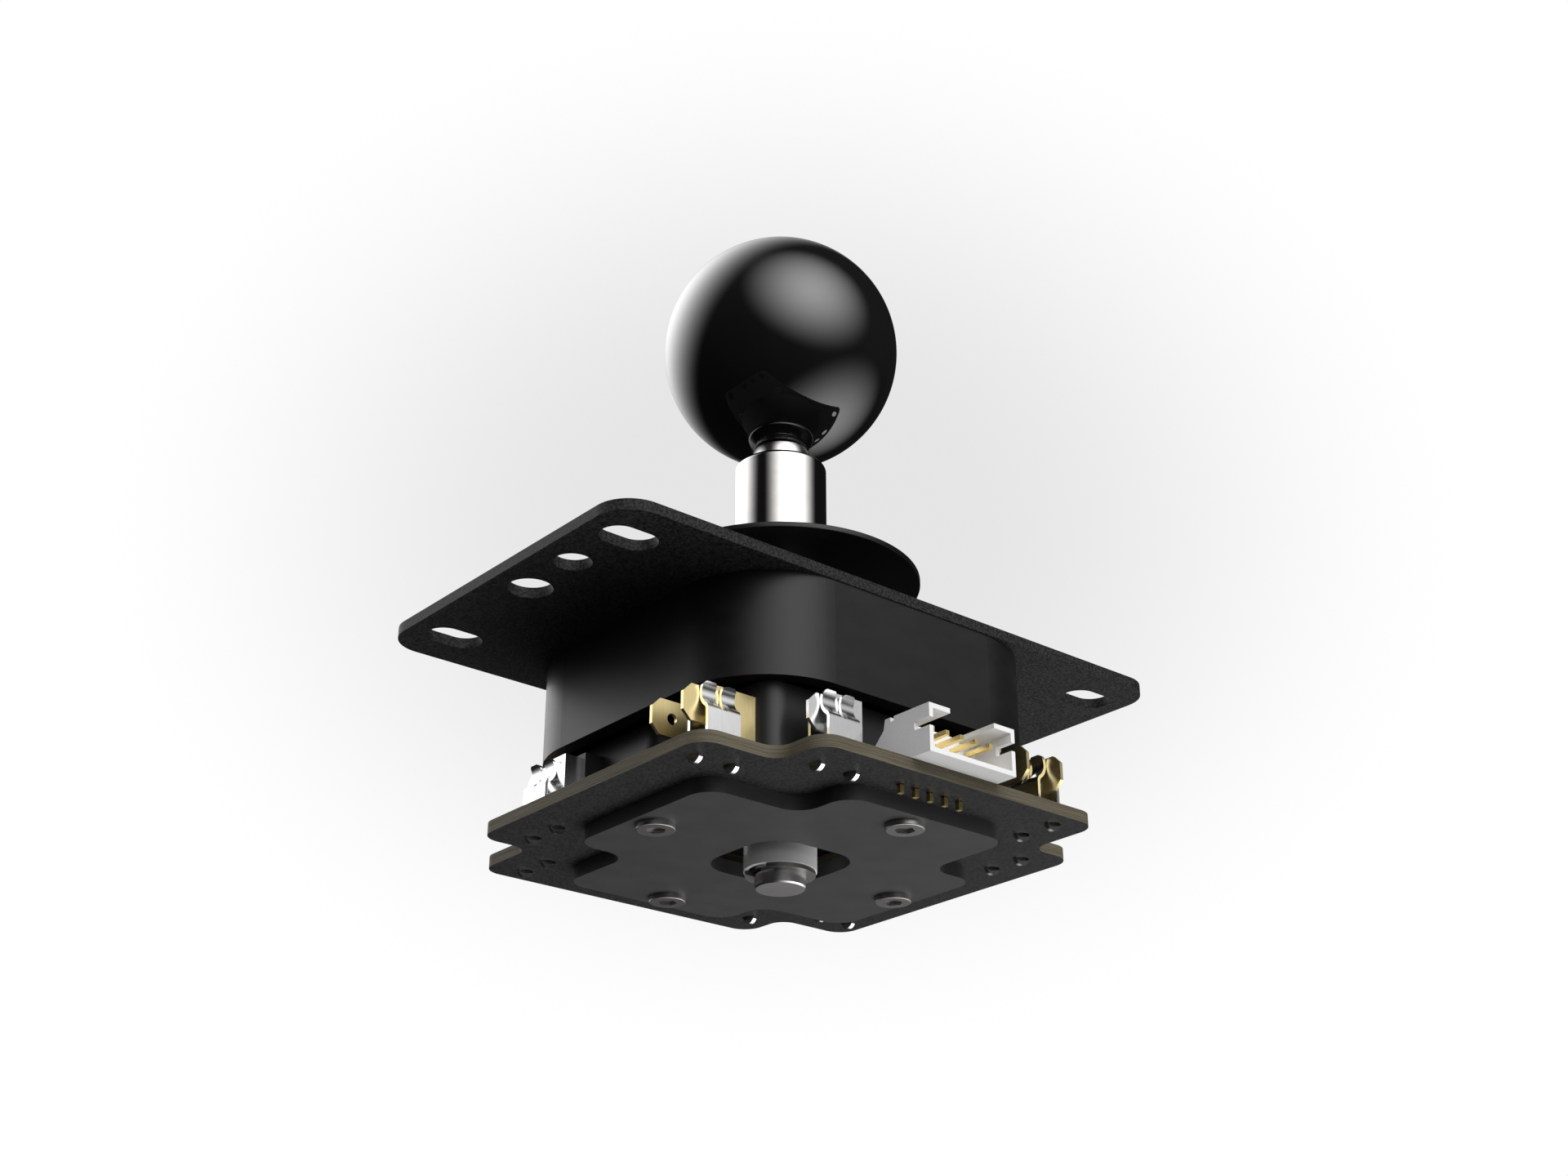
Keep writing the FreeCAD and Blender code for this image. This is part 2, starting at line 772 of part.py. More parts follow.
def make_collar():
    body = new_body("shaft_collar")
    profile = new_sketch(body, "collar_profile", "XZ_Plane")
    bore = neck_radius + running_gap
    round_from = collar_radius - collar_round
    outline(profile, [
        (bore, neck_foot), (collar_radius, neck_foot),
        (collar_radius, collar_top - collar_round),
        (round_from, collar_top, (round_from, collar_top - collar_round, collar_round, True)),
        (bore, collar_top),
    ])
    revolve(body, "collar_turned", profile)
    publish(body, "shaft_collar")


def make_dust_washer():
    body = new_body("dust_washer")
    profile = new_sketch(body, "washer_outline", "XY_Plane", washer_level)
    circle(profile, 0, 0, washer_radius)
    circle(profile, 0, 0, washer_bore)
    pad(body, "washer_disc", profile, washer_thick)
    publish(body, "dust_washer")


def make_spring_parts():
    body = new_body("spring_washer")
    profile = new_sketch(body, "cup_outline", "XY_Plane", seat_level)
    circle(profile, 0, 0, cup_radius)
    circle(profile, 0, 0, cup_bore)
    pad(body, "cup_disc", profile, cup_thick, True)
    publish(body, "spring_washer")
    helix = doc.addObject("Part::Helix", "spring_path")
    top = seat_level - cup_thick
    room = top + flange_top
    lift = room - spring_wire
    bind(helix, "Radius", spring_radius)
    bind(helix, "Height", lift)
    bind(helix, "Pitch", lift / spring_turns)
    bind(helix, "Placement.Base.z", -flange_top + spring_wire / 2)
    wire = doc.addObject("Part::Circle", "spring_section")
    bind(wire, "Radius", spring_wire / 2)
    wire.Placement = App.Placement(V(0, 0, 0), App.Rotation(V(1, 0, 0), 90))
    bind(wire, "Placement.Base.x", spring_radius)
    bind(wire, "Placement.Base.z", -flange_top + spring_wire / 2)
    coil = doc.addObject("Part::Sweep", "centring_spring")
    coil.Sections = [wire]
    coil.Spine = (helix, ["Edge1"])
    coil.Solid = True
    coil.Frenet = True
    publish(coil, "centring_spring")


def make_actuator():
    body = new_body("actuator")
    profile = new_sketch(body, "foot_profile", "XZ_Plane")
    bottom = -foot_bottom
    top = -flange_top
    flange_low = top - flange_thick
    hollow = foot_radius - lip_width
    outline(profile, [
        (shank_bore, bottom + lip_depth), (hollow, bottom + lip_depth),
        (hollow, bottom), (foot_radius, bottom),
        (foot_radius, flange_low), (foot_flange, flange_low),
        (foot_flange, top), (shank_bore, top),
    ])
    revolve(body, "foot_turned", profile)
    publish(body, "actuator")


def make_shaft_clip():
    body = new_body("shaft_clip")
    level = -foot_bottom - running_gap
    ring = new_sketch(body, "ring_outline", "XY_Plane", level)
    circle(ring, 0, 0, ring_radius)
    circle(ring, 0, 0, ring_bore)
    pad(body, "ring_disc", ring, ring_thick, True)
    tooth = new_sketch(body, "ring_tooth_outline", "XY_Plane", level)
    middle = (ring_radius + ring_bore) / 2
    rectangle(tooth, groove_radius - ring_tooth_root, middle, -ring_tooth / 2, ring_tooth / 2)
    teeth = pad(body, "ring_first_tooth", tooth, ring_thick, True)
    pattern = four_times(body, "ring_teeth", [teeth])
    pattern.Occurrences = RING_TEETH
    centre = new_sketch(body, "ring_seat_outline", "XY_Plane", level)
    circle(centre, 0, 0, groove_radius + thread_gap)
    pocket(body, "ring_seat", centre, ring_thick)
    mouth = new_sketch(body, "ring_mouth_outline", "XY_Plane", level)
    rectangle(mouth, -ring_radius - CUT_MARGIN, 0, -ring_mouth / 2, ring_mouth / 2)
    cut = pocket(body, "ring_mouth_cut", mouth, ring_thick)
    body.Tip = cut
    publish(body, "shaft_clip")


def clip_spots():
    """Middle of each spring clip of the -Y switch: on its common tab and on its end tab."""
    return [(-clip_common_mid, -common_reach), (-clip_contact_mid, -clip_tab_reach)]


def make_board():
    body = new_body("circuit_board")
    shape = new_sketch(body, "board_outline", "XY_Plane", -board_bottom)
    pinwheel(shape, board_half, board_notch_near, board_notch_far)
    slab = pad(body, "board_slab", shape, board_thick)
    outer = round_edges(body, "board_lobes", slab, lambda e: upright(e) and at_corner(
        e, pinwheel_corners(board_half, board_notch_near, board_notch_far, False)), board_lobe)
    round_edges(body, "board_notches", outer, lambda e: upright(e) and at_corner(
        e, pinwheel_corners(board_half, board_notch_near, board_notch_far, True)),
        board_notch_round)
    window = new_sketch(body, "board_window_outline", "XY_Plane", board_top)
    rounded_square(window, board_window, window_round)
    for number in range(PIN_COUNT):
        circle(window, pin_spacing * (number - MIDDLE_PIN), -pin_drop_at, pin_hole / 2)
    pocket(body, "board_window_cut", window, board_thick)
    holes = new_sketch(body, "board_hole_outline", "XY_Plane", board_top)
    for x, y in clip_spots():
        circle(holes, x - lead_pitch / 2, y, lead_hole / 2)
        circle(holes, x + lead_pitch / 2, y, lead_hole / 2)
    circle(holes, -gate_screw_out, -gate_screw_side, gate_screw_shank / 2 + thread_gap)
    hole = pocket(body, "board_hole", holes, board_thick)
    four_times(body, "board_holes", [hole])
    publish(body, "circuit_board")


def make_gate():
    body = new_body("gate_plate")
    shape = new_sketch(body, "gate_outline", "XY_Plane", gate_bottom)
    pinwheel(shape, gate_half, gate_notch_near, gate_notch_far)
    slab = pad(body, "gate_slab", shape, gate_thick)
    outer = round_edges(body, "gate_lobes", slab, lambda e: upright(e) and at_corner(
        e, pinwheel_corners(gate_half, gate_notch_near, gate_notch_far, False)), gate_round)
    inner = round_edges(body, "gate_notches", outer, lambda e: upright(e) and at_corner(
        e, pinwheel_corners(gate_half, gate_notch_near, gate_notch_far, True)), gate_round)
    window = new_sketch(body, "gate_window_outline", "XY_Plane", -board_bottom)
    rounded_square(window, gate_window, window_round)
    pocket(body, "gate_window_cut", window, gate_thick)
    holes = new_sketch(body, "gate_hole_outline", "XY_Plane", -board_bottom)
    circle(holes, -gate_screw_out, -gate_screw_side, gate_screw_shank / 2 + hole_gap)
    hole = pocket(body, "gate_hole", holes, gate_thick)
    four_times(body, "gate_holes", [hole])
    publish(body, "gate_plate")


def make_gate_screws():
    body = new_body("gate_screws")
    profile = new_sketch(body, "gate_screw_profile", "XZ_Plane")
    shank = gate_screw_shank / 2
    head = gate_screw_head / 2
    under = gate_bottom - gate_head_thick
    outline(profile, [
        (0, under), (head - gate_head_edge, under), (head, under + gate_head_edge),
        (head, gate_bottom), (shank, gate_bottom), (shank, board_top), (0, board_top),
    ])
    bind(profile, "AttachmentOffset.Base.x", -gate_screw_out)
    bind(profile, "AttachmentOffset.Base.z", gate_screw_side)
    screw = revolve(body, "gate_screw_turned", profile)
    drive = new_sketch(body, "gate_screw_socket", "XY_Plane", under)
    hexagon(drive, -gate_screw_out, -gate_screw_side, hex_width)
    socket = pocket(body, "gate_screw_drive", drive, hex_depth, True)
    four_times(body, "gate_screw_set", [screw, socket])
    publish(body, "gate_screws")


# The four switches. Each is drawn for the -Y side and turned about the shaft.

SIDES = ("front", "right", "back", "left")


def make_switch_case(turn):
    side = SIDES[turn]
    body = new_body("switch_case_" + side)
    shape = new_sketch(body, "case_outline", "XY_Plane", board_top)
    rectangle(shape, -case_tail, case_nose, -case_far, -case_near)
    block = pad(body, "case_block", shape, case_tall)
    outer = round_edges(body, "case_outer_corners", block, lambda e: upright(e) and at_corner(
        e, [(-case_tail.value, -case_far.value), (case_nose.value, -case_far.value)]),
        case_round)
    round_edges(body, "case_inner_corners", outer, lambda e: upright(e) and at_corner(
        e, [(-case_tail.value, -case_near.value), (case_nose.value, -case_near.value)]),
        case_small_round)
    holes = new_sketch(body, "case_hole_outline", "XY_Plane", housing_bottom)
    for x, y in case_pegs():
        circle(holes, x, y, case_hole / 2)
    pocket(body, "case_holes", holes, case_tall)
    boss = new_sketch(body, "case_boss_outline", "XY_Plane", root_low - clip_sheet)
    rectangle(boss, -common_bend - tab_boss_long / 2, -common_bend + tab_boss_long / 2,
              -case_far - tab_boss_reach, -case_far + CUT_MARGIN)
    pad(body, "case_boss", boss, root_high - root_low + clip_sheet * 2)
    for name, low in (("case_low_cheek", leaf_low - cheek_gap - cheek_thick),
                      ("case_high_cheek", leaf_high + cheek_gap)):
        cheek = new_sketch(body, name + "_outline", "XY_Plane", low)
        outline(cheek, [
            (-hinge_arm - knuckle_radius, -case_near - CUT_MARGIN),
            (-hinge_arm + knuckle_radius, -case_near - CUT_MARGIN),
            (-hinge_arm + knuckle_radius, -hinge_set),
            (-hinge_arm - knuckle_radius, -hinge_set,
             (-hinge_arm, -hinge_set, knuckle_radius, True)),
        ])
        pad(body, name, cheek, cheek_thick)
    pin = new_sketch(body, "case_pin_outline", "XY_Plane", leaf_low - cheek_gap - cheek_thick / 2)
    circle(pin, -hinge_arm, -hinge_set, hinge_pin)
    pad(body, "case_pin", pin, leaf_width + cheek_gap * 2 + cheek_thick)
    well = new_sketch(body, "case_well_outline", "XZ_Plane", case_near)
    circle(well, -hinge_arm + button_arm, -tab_level, button_radius + running_gap)
    pocket(body, "case_well", well, button_well, True)
    slot = new_sketch(body, "case_slot_outline", "XY_Plane", root_low)
    rectangle(slot, -common_bend - tab_thick / 2, -common_bend + tab_thick / 2,
              -case_far - tab_boss_reach - CUT_MARGIN, -case_far - tab_thick)
    last = pocket(body, "case_slot", slot, root_high - root_low, True)
    body.Tip = last
    turn_about_shaft(body, turn)
    publish(body, "switch_case_" + side)


leaf_low = -tab_level - leaf_width / 2
leaf_high = -tab_level + leaf_width / 2


def make_switch_lever(turn):
    side = SIDES[turn]
    body = new_body("switch_lever_" + side)
    near = -(foot_radius + leaf_gap)
    shape = new_sketch(body, "leaf_outline", "XY_Plane", leaf_low)
    rectangle(shape, -hinge_arm, leaf_nose, near - leaf_thick, near)
    pad(body, "leaf_strip", shape, leaf_width)
    barrel = new_sketch(body, "leaf_knuckle_outline", "XY_Plane", leaf_low)
    circle(barrel, -hinge_arm, -hinge_set, knuckle_radius)
    pad(body, "leaf_knuckle", barrel, leaf_width)
    bore = new_sketch(body, "leaf_bore_outline", "XY_Plane", leaf_high)
    circle(bore, -hinge_arm, -hinge_set, hinge_pin + running_gap)
    last = pocket(body, "leaf_bore", bore, leaf_width)
    body.Tip = last
    turn_about_shaft(body, turn)
    publish(body, "switch_lever_" + side)


def make_switch_button(turn):
    side = SIDES[turn]
    body = new_body("switch_button_" + side)
    tip = foot_radius + leaf_gap + leaf_thick + button_gap
    shape = new_sketch(body, "button_outline", "XZ_Plane", tip)
    circle(shape, -hinge_arm + button_arm, -tab_level, button_radius)
    stem = pad(body, "button_stem", shape, case_near - tip + button_depth)
    body.Tip = stem
    turn_about_shaft(body, turn)
    publish(body, "switch_button_" + side)


def make_contact_tabs():
    body = new_body("contact_tabs")
    features = []
    for name, reach, drilled in (("free_tab", free_tab_reach, True),
                                 ("clipped_tab", clip_tab_reach, False)):
        blade = new_sketch(body, name + "_outline", "XZ_Plane", reach - tab_thick / 2)
        outline(blade, [
            (-case_tail, root_low), (-case_tail, root_high),
            (-clip_contact_mid, root_high), (-clip_contact_mid, tab_high),
            (-tab_end + tab_chamfer, tab_high), (-tab_end, tab_high - tab_chamfer),
            (-tab_end, tab_low + tab_chamfer), (-tab_end + tab_chamfer, tab_low),
            (-clip_contact_mid, tab_low), (-clip_contact_mid, root_low),
        ])
        if drilled:
            circle(blade, -tab_end + tab_hole_inset, -tab_level, tab_hole / 2)
        features.append(pad(body, name, blade, tab_thick))
    four_times(body, "contact_tab_set", features)
    publish(body, "contact_tabs")


def make_common_tabs():
    body = new_body("common_tabs")
    blade = new_sketch(body, "common_outline", "XZ_Plane", common_reach - tab_thick / 2)
    right = -common_bend + tab_thick / 2
    outline(blade, [
        (right, root_low), (right, root_high),
        (-clip_common_mid, root_high), (-clip_common_mid, tab_high),
        (-common_end + tab_chamfer, tab_high), (-common_end, tab_high - tab_chamfer),
        (-common_end, tab_low + tab_chamfer), (-common_end + tab_chamfer, tab_low),
        (-clip_common_mid, tab_low), (-clip_common_mid, root_low),
    ])
    flat = pad(body, "common_blade", blade, tab_thick)
    leg = new_sketch(body, "common_leg_outline", "XY_Plane", root_low)
    rectangle(leg, -common_bend - tab_thick / 2, right,
              -common_reach, -case_far - tab_thick)
    post = pad(body, "common_leg", leg, root_high - root_low)
    four_times(body, "common_tab_set", [flat, post])
    publish(body, "common_tabs")


def clip_wall(side):
    """Outline points of one wall of a spring clip, from its foot to its tip and back.
    Side is 1 for the wall on the right and -1 for the one on the left."""
    sheet_half = clip_sheet / 2
    line = clip_half - sheet_half
    grip = tab_thick / 2 + clip_grip + sheet_half
    wide = (line - grip) / (1 - cosine(clip_angle)) - clip_tight
    first = line - clip_tight
    rise = clip_shoulder + clip_tight * sine(clip_angle)
    join = line - clip_tight * (1 - cosine(clip_angle))
    far = join + wide * cosine(clip_angle)
    pinch = rise + wide * sine(clip_angle)
    lift = clip_height - pinch
    top_in = root((wide - sheet_half) * (wide - sheet_half) - lift * lift)
    top_out = root((wide + sheet_half) * (wide + sheet_half) - lift * lift)
    tight_out = clip_tight + sheet_half
    tight_in = clip_tight - sheet_half
    outer = [
        (clip_half, clip_shoulder),
        (first + tight_out * cosine(clip_angle), clip_shoulder + tight_out * sine(clip_angle),
         (first, clip_shoulder, tight_out, True)),
        (far - top_in, clip_height, (far, pinch, wide - sheet_half, False)),
    ]
    inner = [
        (far - top_out, clip_height),
        (first + tight_in * cosine(clip_angle), clip_shoulder + tight_in * sine(clip_angle),
         (far, pinch, wide + sheet_half, True)),
        (clip_half - clip_sheet, clip_shoulder, (first, clip_shoulder, tight_in, False)),
    ]
    return outer, inner


def clip_profile(sketch, middle, floor):
    """The U shaped section of a spring clip in a sketch whose x runs across the clip."""
    outer, inner = clip_wall(1)
    steps = [(middle - clip_half, floor), (middle + clip_half, floor)]

    def placed(step, side):
        x = middle + step[0] * side
        y = floor + step[1]
        if len(step) == 2:
            return (x, y)
        cx, cy, radius, leftward = step[2]
        return (x, y, (middle + cx * side, floor + cy, radius, leftward))

    for step in outer + inner:
        steps.append(placed(step, 1))
    steps.append((middle + clip_half - clip_sheet, floor + clip_sheet))
    steps.append((middle - clip_half + clip_sheet, floor + clip_sheet))
    # The left wall is the mirror of the right one, walked the other way round.
    walk = outer + inner
    count = len(walk)
    for index in range(count - 1, -1, -1):
        x = middle - walk[index][0]
        y = floor + walk[index][1]
        after = walk[index + 1] if index + 1 < count else None
        if after is not None and len(after) == 3:
            cx, cy, radius, leftward = after[2]
            steps.append((x, y, (middle - cx, floor + cy, radius, leftward)))
        else:
            steps.append((x, y))
    outline(sketch, steps)


def make_clips(name, spot):
    """Four spring clips that grip a tab, one for each switch, with two leads each."""
    x, y = spot
    body = new_body(name)
    section = new_sketch(body, name + "_section", "YZ_Plane", x - clip_length / 2)
    clip_profile(section, y, board_top)
    strip = pad(body, name + "_strip", section, clip_length)
    four_times(body, name + "_strips", [strip])
    slit = new_sketch(body, name + "_slit_outline", "XZ_Plane", -y - clip_half - CUT_MARGIN)
    rectangle(slit, x - clip_slit / 2, x + clip_slit / 2,
              board_top + clip_shoulder + clip_slit_rise, board_top + clip_height + CUT_MARGIN)
    gap = pocket(body, name + "_slit", slit, clip_half * 2 + CUT_MARGIN * 2, True)
    gaps = four_times(body, name + "_slits", [gap])
    top = (board_top + clip_height).value
    short = (clip_sheet * 2).value
    round_edges(body, name + "_fingertips", gaps, lambda e: straight(e) and e.Length < short
                and abs(e.BoundBox.ZMin - top) < 1e-4, clip_round)
    foot = new_sketch(body, name + "_foot_outline", "XY_Plane", board_top)
    reach = lead_pitch / 2 + lead_radius
    rectangle(foot, x - reach, x + reach, y - lead_foot / 2, y + lead_foot / 2)
    base = pad(body, name + "_foot", foot, clip_sheet)
    four_times(body, name + "_feet", [base])
    leads = new_sketch(body, name + "_lead_outline", "XY_Plane", board_top)
    circle(leads, x - lead_pitch / 2, y, lead_radius)
    circle(leads, x + lead_pitch / 2, y, lead_radius)
    legs = pad(body, name + "_leads", leads, board_thick + solder_radius / 2, True)
    joints = [legs]
    for number, shift in enumerate((-lead_pitch / 2, lead_pitch / 2)):
        solder = new_sketch(body, "%s_solder_outline_%d" % (name, number), "XZ_Plane")
        outline(solder, [
            (0, -board_bottom - solder_radius),
            (solder_radius, -board_bottom, (0, -board_bottom, solder_radius, True)),
            (0, -board_bottom),
        ])
        bind(solder, "AttachmentOffset.Base.x", x + shift)
        bind(solder, "AttachmentOffset.Base.z", -y)
        joints.append(revolve(body, "%s_solder_%d" % (name, number), solder))
    four_times(body, name + "_lead_set", joints)
    publish(body, name)


def make_plug():
    body = new_body("plug_housing")
    top = board_top + plug_top
    half = plug_wide / 2
    side = new_sketch(body, "plug_side", "YZ_Plane", -half)
    notch_low = top - plug_notch
    outline(side, [
        (-plug_heel, board_top), (-plug_heel, top - plug_step_low),
        (-plug_back + plug_step_run, top - plug_step_high), (-plug_back, top),
        (-plug_notch_at + plug_notch, top), (-plug_notch_at + plug_notch, notch_low),
        (-plug_notch_at, notch_low), (-plug_notch_at, top),
        (-plug_front, top), (-plug_front, board_top),
    ])
    pad(body, "plug_block", side, plug_wide)
    mouth = new_sketch(body, "plug_mouth_outline", "XZ_Plane", plug_front)
    rectangle(mouth, -half + plug_wall, half - plug_wall, board_top + plug_wall, top - plug_wall)
    pocket(body, "plug_mouth", mouth, plug_front - plug_notch_at)
    opening = new_sketch(body, "plug_window_outline", "XY_Plane", top)
    rectangle(opening, -plug_window / 2, plug_window / 2,
              -plug_front - CUT_MARGIN, -plug_notch_at)
    pocket(body, "plug_window", opening, plug_wall + CUT_MARGIN / 2)
    rear = new_sketch(body, "plug_rear_outline", "XY_Plane", top)
    rectangle(rear, -half + plug_wall, half - plug_wall,
              -plug_notch_at + plug_back_wall, -plug_heel + CUT_MARGIN)
    pocket(body, "plug_rear", rear, plug_top)
    slots = new_sketch(body, "plug_slot_outline", "YZ_Plane", -half - CUT_MARGIN)
    rectangle(slots, -plug_front - CUT_MARGIN, -plug_front + plug_slot_depth,
              board_top + plug_slot_level, board_top + plug_slot_level + plug_slot_high)
    pocket(body, "plug_slots", slots, plug_wide + CUT_MARGIN * 2, True)
    bores = new_sketch(body, "plug_bore_outline", "XZ_Plane", plug_front)
    reach = pin_width / 2 + thread_gap
    for number in range(PIN_COUNT):
        x = pin_spacing * (number - MIDDLE_PIN)
        z = board_top + pin_level
        rectangle(bores, x - reach, x + reach, z - reach, z + reach)
    last = pocket(body, "plug_bores", bores, plug_front - plug_heel)
    body.Tip = last
    publish(body, "plug_housing")


def make_pins():
    body = new_body("plug_pins")
    reach = pin_width / 2
    level = board_top + pin_level
    bend = new_sketch(body, "pin_side", "YZ_Plane", -pin_spacing * MIDDLE_PIN - reach)
    outline(bend, [
        (-pin_tip, level - reach), (-pin_drop_at - reach, level - reach),
        (-pin_drop_at - reach, -pin_foot), (-pin_drop_at + reach, -pin_foot),
        (-pin_drop_at + reach, level + reach), (-pin_tip, level + reach),
    ])
    first = pad(body, "pin_first", bend, pin_width)
    pattern = body.newObject("PartDesign::LinearPattern", "pin_set")
    pattern.Originals = [first]
    pattern.Direction = (origin_part(body, "X_Axis"), [""])
    bind(pattern, "Length", pin_spacing * (PIN_COUNT - 1))
    pattern.Occurrences = PIN_COUNT
    body.Tip = pattern
    publish(body, "plug_pins")


make_plate()
make_plate_screws()
make_housing()
make_pivot()
make_shaft()
make_ball()
make_collar()
make_dust_washer()
make_spring_parts()
make_actuator()
make_shaft_clip()
make_board()
make_gate()
make_gate_screws()
for turn in range(TURNS):
    make_switch_case(turn)
    make_switch_lever(turn)
    make_switch_button(turn)
make_contact_tabs()
make_common_tabs()
common_spot, contact_spot = clip_spots()
make_clips("common_clips", common_spot)
make_clips("contact_clips", contact_spot)
make_plug()
make_pins()

doc.recompute()

faults = []
for item in doc.Objects:
    if "Invalid" in item.State or "Error" in item.State:
        faults.append("%s is %s" % (item.Name, item.State))
for item, name in nodes:
    shape = item.Shape
    if shape.isNull() or not shape.isValid() or not shape.Solids:
        faults.append("%s has no sound shape" % name)
if faults:
    raise RuntimeError("; ".join(faults))

os.makedirs("parts", exist_ok=True)
for item, name in nodes:
    item.Shape.exportStep(os.path.join("parts", name + ".step"))
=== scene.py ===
"""Arcade stick seen from below, dressed for rendering.

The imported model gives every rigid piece. This script finishes each of them. It makes the
turned pieces, the gate's screws and the centring spring again, opens the circuit board's
lead holes round flat legs for the clips, and sets up the camera, the soft lights and the
floor.
"""

import math

import bmesh
import bpy
from bpy.props import FloatProperty, FloatVectorProperty, IntProperty, PointerProperty
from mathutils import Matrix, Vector


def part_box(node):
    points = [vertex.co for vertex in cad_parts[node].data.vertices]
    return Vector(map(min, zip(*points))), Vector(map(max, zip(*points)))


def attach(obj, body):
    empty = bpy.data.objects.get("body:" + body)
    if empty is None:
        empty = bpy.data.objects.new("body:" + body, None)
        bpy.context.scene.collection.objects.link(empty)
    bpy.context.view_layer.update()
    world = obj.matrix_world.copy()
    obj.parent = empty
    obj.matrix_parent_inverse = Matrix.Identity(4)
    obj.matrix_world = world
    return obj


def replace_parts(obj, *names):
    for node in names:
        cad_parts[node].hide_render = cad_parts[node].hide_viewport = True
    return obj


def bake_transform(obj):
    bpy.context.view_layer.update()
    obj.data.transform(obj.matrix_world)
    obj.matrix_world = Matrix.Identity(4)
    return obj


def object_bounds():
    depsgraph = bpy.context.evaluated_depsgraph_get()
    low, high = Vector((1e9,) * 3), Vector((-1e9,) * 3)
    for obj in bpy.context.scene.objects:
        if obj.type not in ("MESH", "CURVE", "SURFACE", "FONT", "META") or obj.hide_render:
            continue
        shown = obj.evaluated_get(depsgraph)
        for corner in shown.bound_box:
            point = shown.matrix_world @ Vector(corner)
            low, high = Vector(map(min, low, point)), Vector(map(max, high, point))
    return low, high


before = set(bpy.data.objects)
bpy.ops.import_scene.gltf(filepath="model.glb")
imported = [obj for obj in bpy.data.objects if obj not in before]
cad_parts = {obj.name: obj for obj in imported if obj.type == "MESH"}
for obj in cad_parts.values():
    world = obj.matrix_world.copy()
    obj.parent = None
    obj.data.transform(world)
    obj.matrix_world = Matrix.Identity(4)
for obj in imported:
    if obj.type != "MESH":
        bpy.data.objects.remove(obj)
cad_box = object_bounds()

bl_info = {
    "name": "Arcade stick",
    "version": (1, 0, 0),
    "blender": (4, 5, 0),
    "location": "3D View > Sidebar > Arcade stick",
    "description": "Finishes, made pieces, lights and camera of an arcade stick",
    "category": "Object",
}

MM = 0.001
QUARTER = math.pi / 2
SIDES = ("front", "right", "back", "left")

# The camera of the photograph: its heading is turned from +Y, and it looks up by its lift.
CAMERA_SPOT = (-0.17986, -0.21495, -0.11942)
CAMERA_HEADING = math.radians(-40.025)
CAMERA_LIFT = math.radians(24.988)
CAMERA_LENS = 49.56
CAMERA_SENSOR = 36
CAMERA_NEAREST = 0.01

# Soft lights: turn and lift of the middle and reach, all in degrees, and strength.
FRONT_LIGHT = (30, 34, 59, 4.5)
BACK_LIGHT = (-124, 37, 55, 4.1)
UNDER_LIGHT = (121, -51, 59, 2.9)

# Even light of the room: what every ray finds, and what diffuse rays find on top of it.
ROOM_GLOW = 0.01
ROOM_SPREAD = 0.055

# The backdrop's patch of painted shade behind the object: how far its middle is above the middle
# of the view, how much it is squeezed in height, where it begins and ends to fade, and its tone.
PATCH_RISE = 0.0265
PATCH_SQUEEZE = 1.3
PATCH_FADE = (0.07, 0.33)
PATCH_TONE = 0.785

# The floor, and the distances from the object between which it fades, in metres.
FLOOR_HALF_WIDTH = 3.0
FLOOR_GAP = 0.1 * MM
FLOOR_FADE = (0.15, 1.1)

# Points closer than this become one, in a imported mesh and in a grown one.
PACKED_WELD = 0.0001 * MM
GROWN_WELD = 0.002 * MM

# Sharp edges of a made mesh, in degrees.
TURNED_EDGES = 32
BOARD_EDGES = 40
SPRING_EDGES = 50
FINE_EDGES = 20

# Middles of a common clip and of a contact clip of one switch, and half the distance between
# the two legs of a clip, in millimetres.
CLIP_MIDDLES = ((-14.95, -28.25), (-27.95, -20.8))
LEG_SHIFT = 2.82

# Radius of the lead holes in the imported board.
PACKED_HOLE = 0.65 * MM

# The fewest points of a hole, and the fewest faces of a whole leg and of a whole screw.
HOLE_POINTS = 16
LEG_FACES = 4 * 24
SCREW_FACES = 5 * 96

SPRING_WIRE = 0.9 * MM
SPRING_TURNS = 3


# Node trees

class Wire:
    """A socket of a node tree. Arithmetic on it adds Math nodes to the tree."""

    def __init__(self, graph, socket):
        self.graph = graph
        self.socket = socket

    def math(self, operation, *others):
        return self.graph.node("ShaderNodeMath", {"operation": operation},
                               dict(enumerate((self,) + others)))

    def reflected(self, operation, first):
        return self.graph.node("ShaderNodeMath", {"operation": operation}, {0: first, 1: self})

    def __add__(self, other):
        return self.math("ADD", other)

    def __sub__(self, other):
        return self.math("SUBTRACT", other)

    def __mul__(self, other):
        return self.math("MULTIPLY", other)

    def __truediv__(self, other):
        return self.math("DIVIDE", other)

    def __pow__(self, other):
        return self.math("POWER", other)

    def __rsub__(self, other):
        return self.reflected("SUBTRACT", other)

    def __rtruediv__(self, other):
        return self.reflected("DIVIDE", other)

    def __rpow__(self, other):
        return self.reflected("POWER", other)

    __radd__ = __add__
    __rmul__ = __mul__

    def band(self, low, high):
        """0 below low and 1 above high, with a soft step between them."""
        return self.graph.node("ShaderNodeMapRange", {"interpolation_type": "SMOOTHSTEP"},
                               {0: self, 1: low, 2: high, 3: 0.0, 4: 1.0})


